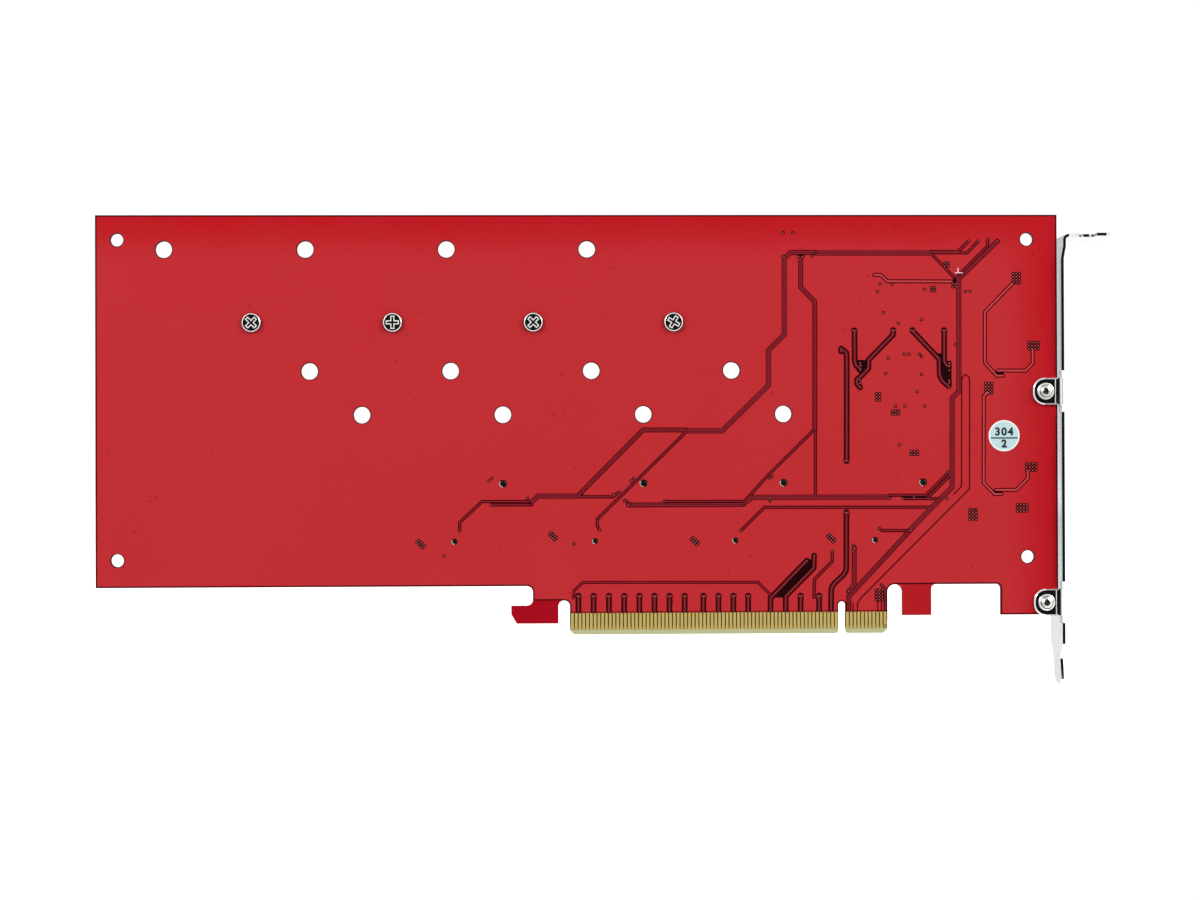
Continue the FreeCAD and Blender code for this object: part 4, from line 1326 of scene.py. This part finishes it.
screws()
softened("bracket", edge_break, 1, "bracket_steel", steel, inner_steel, shaded_outer_steel, highlight_and_wear_paint,
         shaped=rimmed_ears, smooth_angle=15)
softened("bracket_nuts", 0.15 * mm, 1, "screw_nickel", nickel)
softened("drive_standoffs", 0.10 * mm, 1, "standoff_brass", brass)
inspection_label()

# ---------------------------------------------------------------- component side
for number in (1, 2):
    softened(f"power_inductor_{number}", 0.35 * mm, 3, "inductor_grey", ferrite)
    softened(f"voltage_regulator_{number}", edge_break, 1, "chip_black", chip_black)
for number in sockets:
    softened(f"m2_socket_{number}", 0.07 * mm, 1, "socket_black", socket_black)
    softened(f"bulk_capacitor_{number}", 0.08 * mm, 1, "bulk_capacitor_dark", bulk_dark)
softened("clock_buffer", edge_break, 1, "chip_black", chip_black)

# Socket: contacts along Y, the body's ends and the mouth along X, and heights above the board
contact_step = 0.5 * mm
contact_places = 38
key_middle = 6.125 * mm
key_half = 0.9 * mm
body_back = 5.0 * mm
body_front = -3.6 * mm
mouth_low = 2.2 * mm
mouth_high = 3.5 * mm
upper_row_shift = 0.4 * mm
# First block and bends of a solder tail and of a contact spring, in millimetres
tail_foot, tail_bends = (1.0, 0.22, 0.16), ((-0.12, 0, 0.14), (-0.06, 0, 0.5))
spring_leaf, spring_bends = (3.2, 0.24, 0.06), ((-0.5, 0, 0.12), (-0.5, 0, -0.10))


def socket_frame(number):
    """Frame of a socket: X into it, Y across it and Z up from the board."""
    low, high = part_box(f"m2_socket_{number}")
    middle = (low + high) / 2 - into_socket * socket_middle
    turn = Matrix((into_socket, across_socket, Vector((0, 1, 0)))).transposed().to_4x4()
    return Matrix.Translation((middle.x, front_face, middle.z)) @ turn


def solder_tail():
    """Flat foot that bends up to the housing behind it."""
    foot = block(Vector(tail_foot) * mm, (tail_foot[0] / 2 * mm, 0, 0))
    extrude_left(foot, *tail_bends)
    return dress(foot, tin)


def mouth_spring():
    """Gold contact that lies in the mouth with a raised nose."""
    leaf = block(Vector(spring_leaf) * mm)
    extrude_left(leaf, *spring_bends)
    return dress(leaf, gold)


def row_places(count):
    """Places across a socket of one row of contacts, without those at the key."""
    across = [(number - (count - 1) / 2) * contact_step for number in range(count)]
    return [place for place in across if abs(place - key_middle) > key_half]


def socket_details():
    tails, springs = [], []
    for number in sockets:
        place = socket_frame(number)
        for across in row_places(contact_places):
            tails.append(place @ Matrix.Translation((body_back, across, 0)))
            springs.append(place @ Matrix.Translation((0, across, mouth_low)))
        for across in row_places(contact_places - 1):
            tails.append(place @ Matrix.Translation((body_front, across, 0)) @ half_turn)
            nose = Matrix.Translation((upper_row_shift, across, mouth_high))
            springs.append(place @ nose @ upside_down)
    add_piece(lay_out(solder_tail(), tails), "socket_tails")
    add_piece(lay_out(mouth_spring(), springs), "socket_springs")


# Small parts with metal ends: the share of the length that each end takes
end_shares = {"power_capacitors": 0.17, "clock_capacitors": 0.25, "clock_resistors": 0.25,
              "led_resistors": 0.22, "status_leds": 0.2}
end_wrap = (0.03, 0.04, 0.02)
end_chamfer = 0.05 * mm
solder_length, solder_reach, solder_share = 0.45 * mm, 0.2 * mm, 0.55
solder_taper = (0.1, 0.9, 1)
socket_capacitor = (1.6 * mm, 0.8 * mm, 0.8 * mm, 0.25)
socket_capacitor_back = 3.0 * mm
socket_capacitor_pitch = 4.0 * mm
# Metal side plates of the larger parts: how many parts, size and rounding in millimetres
side_plates = {"power_inductor": (2, (0.5, 3.2, 2.4), 0.1),
               "bulk_capacitor": (4, (0.24, 2.4, 1.5), 0)}
# Chips with solder joints: joints a side, their pitch in millimetres, and sides
leaded_chips = {"clock_buffer": (8, 0.5, 4), "voltage_regulator_1": (6, 0.65, 2),
                "voltage_regulator_2": (6, 0.65, 2)}
joint_block = (0.45, 0.26, 0.12)
joint_reach = 0.12 * mm
joint_taper = (0.3, 0.8, 1)
joint_root = -0.22 * mm


def end_caps(length, width, height, share):
    """Two metal ends of a small part that lies along X, each with its solder."""
    caps = []
    reach = length * share
    wrap_x, wrap_y, wrap_z = Vector(end_wrap) * mm
    for side in (-1, 1):
        cap = block((reach + wrap_x, width + wrap_y, height + wrap_z),
                    (side * (length - reach + wrap_x) / 2, 0, 0))
        bevel_edges(cap, end_chamfer, 1)
        solder = block((solder_length, width, height * solder_share),
                       (side * (length / 2 + solder_reach), 0, 0))
        taper_top(solder, solder_taper, side * length / 2)
        caps += [cap, solder]
    return dress(fuse(caps), tin)


def part_ends():
    """Metal ends of all small parts on the component side."""
    pieces = []
    for node, share in end_shares.items():
        boxes = solid_boxes(node)
        size = boxes[0][1] - boxes[0][0]
        model = end_caps(max(size.x, size.z), min(size.x, size.z), size.y, share)
        lying = quarter_turn if size.z > size.x else Matrix.Identity(4)
        pieces.append(lay_out(model, [on_front(*box) @ lying for box in boxes]))
    places = []
    for number in sockets:
        for step in (-1.5, -0.5, 0.5, 1.5):
            offset = (body_back + socket_capacitor_back, step * socket_capacitor_pitch, 0)
            places.append(socket_frame(number) @ Matrix.Translation(offset) @ quarter_turn)
    pieces.append(lay_out(end_caps(*socket_capacitor), places))
    for node, (count, size, rounding) in side_plates.items():
        for number in range(1, count + 1):
            low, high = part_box(f"{node}_{number}")
            for side in (-1, 1):
                plate = block(Vector(size) * mm, (side * (high.x - low.x) / 2, 0, 0))
                if rounding:
                    bevel_edges(plate, rounding * mm, 1)
                plate.data.transform(on_front(low, high))
                pieces.append(dress(plate, tin))
    add_piece(fuse(pieces), "part_ends")


def chip_leads():
    """Rows of solder joints round the flat chips."""
    places = []
    for node, (count, pitch, sides) in leaded_chips.items():
        low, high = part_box(node)
        reach = (high.x - low.x) / 2 + joint_reach
        for side in range(sides):
            facing = on_front(low, high) @ Matrix.Rotation(side * 2 * math.pi / sides, 4, "Z")
            for number in range(count):
                step = (number - (count - 1) / 2) * pitch * mm
                places.append(facing @ Matrix.Translation((reach, step, 0)))
    joint = block(Vector(joint_block) * mm)
    taper_top(joint, joint_taper, joint_root)
    add_piece(lay_out(dress(joint, tin), places), "chip_leads")


# Lanes from the sockets to the contacts: x of the first contact and step, in millimetres
lane_targets = ((-71.0, 1.4), (-56.0, 1.6), (-37.0, 1.5), (-12.0, 1.1))
lane_pairs = 8
lane_start = 8.0 * mm
lane_step = 1.9 * mm
lane_back = 2.0 * mm
lane_low_z = 14.6 * mm
lane_rise = 0.85 * mm
lane_corner = 1.0 * mm
lane_root = Vector((1.2 * mm, -1.0 * mm))
contact_top = 5.9 * mm


def lane_run(start, target, level):
    """Run from a socket down, along and down again to a contact, with cut corners."""
    side = math.copysign(lane_corner, target - start.x)
    return [tuple(start - lane_root), tuple(start), (start.x, level + lane_corner),
            (start.x + side, level), (target - side, level), (target, level - lane_corner),
            (target, contact_top)]


def component_tracks():
    lanes = []
    for number, (first, step) in zip(sockets, lane_targets):
        place = socket_frame(number)
        for pair in range(lane_pairs):
            point = place @ Vector((body_back + lane_back, lane_start - pair * lane_step, 0))
            target = (first + pair * step) * mm
            order = pair if target > point.x else lane_pairs - 1 - pair
            level = lane_low_z + order * lane_rise
            lanes.append(lane_run(Vector((point.x, point.z)), target, level))
    lay_tracks({"lane": lanes}, front_face, "component_side")


# Rows of drive holes, in millimetres: drive length, and x and z of the first hole
drive_rows = ((110, -178.914, 102.06), (80, -155.967, 82.736), (60, -140.668, 69.854),
              (42, -126.9, 58.26))
screwed_length = 80
drive_pitch = 37.18
corner_holes = ((-191.204, 20.1), (-191.204, 104.6), (49.7, 20.1), (49.7, 104.6))
drive_hole_reach = 2.2 * mm
corner_hole_reach = 1.7 * mm
hole_rim = 0.22 * mm
# Crescent beside each peg, a painted highlight: width, and the angles in degrees where it starts
# and ends
crescent_highlight_width = 0.16 * mm
crescent_highlight_from, crescent_highlight_to = 150, 265

# Pegs of a socket: side, radius and radius of the hole
peg_radii = ((-1, 0.8 * mm, 1.06 * mm), (1, 0.55 * mm, 0.84 * mm))
peg_reach = 10.0 * mm
peg_recess = 0.15 * mm
peg_share = 0.96
peg_sides = 20
peg_height = 0.1 * mm
peg_crown = ((0.125, 0.0875), (0.25, 0.05))

# White print of the component side
legend_width = 0.16 * mm
pad_ring = 3.1 * mm
length_offset = 3.6 * mm
length_size = 1.9 * mm
number_size = 3.2 * mm
number_place = Vector((body_back + 4.6 * mm, -11.5 * mm, 0))
socket_corners = ((body_front - 1.4 * mm, 9.8 * mm), (body_front - 1.4 * mm, 11.9 * mm),
                  (body_back + 1.5 * mm, 11.9 * mm), (body_back + 1.5 * mm, 9.8 * mm))
capacitor_margin = 0.5 * mm
chip_margin = 0.6 * mm
first_pin_mark = (1.2 * mm, 1.0 * mm, 0.15 * mm)
polarity_bar = (0.9 * mm, 3.1 * mm, 0.02 * mm)
polarity_x = 1.3 * mm


def drive_hole(number, x, z):
    """Place (x, z) of the hole of one drive in a row whose first hole is given."""
    return (x + (number - 1) * drive_pitch) * mm, z * mm


def frame_round(node, margin):
    low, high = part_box(node)
    left, right = low.x - margin, high.x + margin
    bottom, top = low.z - margin, high.z + margin
    return [(left, bottom), (left, top), (right, top), (right, bottom), (left, bottom)]


def component_legend():
    """White print of the component side: outlines, drive numbers and lengths."""
    runs, pieces = [], []
    for number in sockets:
        place = socket_frame(number)
        for side in (-1, 1):
            points = [place @ Vector((along, side * across, 0)) for along, across in socket_corners]
            runs.append([(point.x, point.z) for point in points])
        runs.append(frame_round(f"bulk_capacitor_{number}", capacitor_margin))
        x, _, z = place @ number_place
        pieces.append(print_text(str(number), number_size, x, z, front_face, legend_white))
        for length, first_x, first_z in drive_rows:
            x, z = drive_hole(number, first_x, first_z)
            runs.append(arc(x, z, pad_ring))
            pieces.append(print_text(str(length), length_size, x - length_offset,
                                     z - length_offset, front_face, legend_white))
        low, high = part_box(f"bulk_capacitor_{number}")
        bar = dress(block(polarity_bar), legend_white)
        bar.data.transform(Matrix.Translation((low.x + polarity_x, high.y, (low.z + high.z) / 2))
                           @ to_front)
        pieces.append(bar)
    for node in (*leaded_chips, "power_inductor_1", "power_inductor_2"):
        runs.append(frame_round(node, chip_margin))
    for node in leaded_chips:
        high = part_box(node)[1]
        along, up, radius = first_pin_mark
        runs.append(arc(high.x + along, high.z + up, radius, steps=8))
    pieces.append(ribbons(runs, legend_width, print_lift, front_face, legend_white))
    add_piece(fuse(pieces), "component_legend")


def peg_end(radius):
    """Rounded end of a moulded peg, which faces the solder side."""
    cap = cylinder(peg_sides, radius, peg_height)
    inset_faces(cap, on_top, *((radius * step, radius * rise) for step, rise in peg_crown))
    cap.data.transform(to_rear)
    return dress(smooth(cap, 60), peg_black)


def hole_edges():
    """Dark rings of the open holes, bare edge with painted shadow, and the peg ends with painted
    shadow in the clearance round them and a painted highlight crescent.
    """
    reach = drive_hole_reach + hole_rim / 2
    rims = [arc(*drive_hole(number, x, z), reach) for length, x, z in drive_rows
            if length != screwed_length for number in sockets]
    rims += [arc(x * mm, z * mm, corner_hole_reach + hole_rim / 2) for x, z in corner_holes]
    pieces = [ribbons(rims, hole_rim, rim_lift, rear_face, hole_edge_and_shadow)]
    pale, pegs = [], []
    for number in sockets:
        for side, radius, clear in peg_radii:
            x, _, z = socket_frame(number) @ Vector((0, side * peg_reach, 0))
            middle = (radius + clear) / 2
            pieces.append(ribbons([arc(x, z, middle)], clear - radius, rim_lift, rear_face,
                                  hole_edge_and_shadow))
            # Painted highlight: a pale crescent on the clearance of each peg
            pale.append(arc(x, z, middle, crescent_highlight_from, crescent_highlight_to, 10))
            cap = peg_end(radius * peg_share)
            cap.location = (x, rear_face + peg_recess, z)
            pegs.append(settle(cap))
    pieces.append(ribbons(pale, crescent_highlight_width, crescent_highlight_lift, rear_face, peg_highlight))
    add_piece(fuse(pieces), "solder_side_hole_edges")
    add_piece(fuse(pegs), "peg_ends")


socket_details()
hole_edges()
part_ends()
chip_leads()
component_tracks()
component_legend()

# ---------------------------------------------------------------- finishes of the CAD parts
kept_finishes = {
    "pcb": red_board, "edge_contacts_rear": gold, "edge_contacts_front": gold, "bracket": steel,
    "bracket_screws": nickel, "bracket_nuts": nickel, "standoff_screws": screw_black,
    "drive_standoffs": brass, "drive_screws": nickel, "power_capacitors": tan,
    "socket_capacitors": tan, "clock_buffer": chip_black, "clock_capacitors": tan,
    "clock_resistors": resistor_black, "status_leds": led_clear, "led_resistors": resistor_black,
    "inspection_sticker": paper, "voltage_regulator_1": chip_black,
    "voltage_regulator_2": chip_black, "power_inductor_1": ferrite, "power_inductor_2": ferrite,
}
for number in sockets:
    kept_finishes[f"m2_socket_{number}"] = socket_black
    kept_finishes[f"m2_socket_{number}_anchors"] = tin
    kept_finishes[f"bulk_capacitor_{number}"] = bulk_dark
for node, finish in kept_finishes.items():
    dress(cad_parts[node], finish)
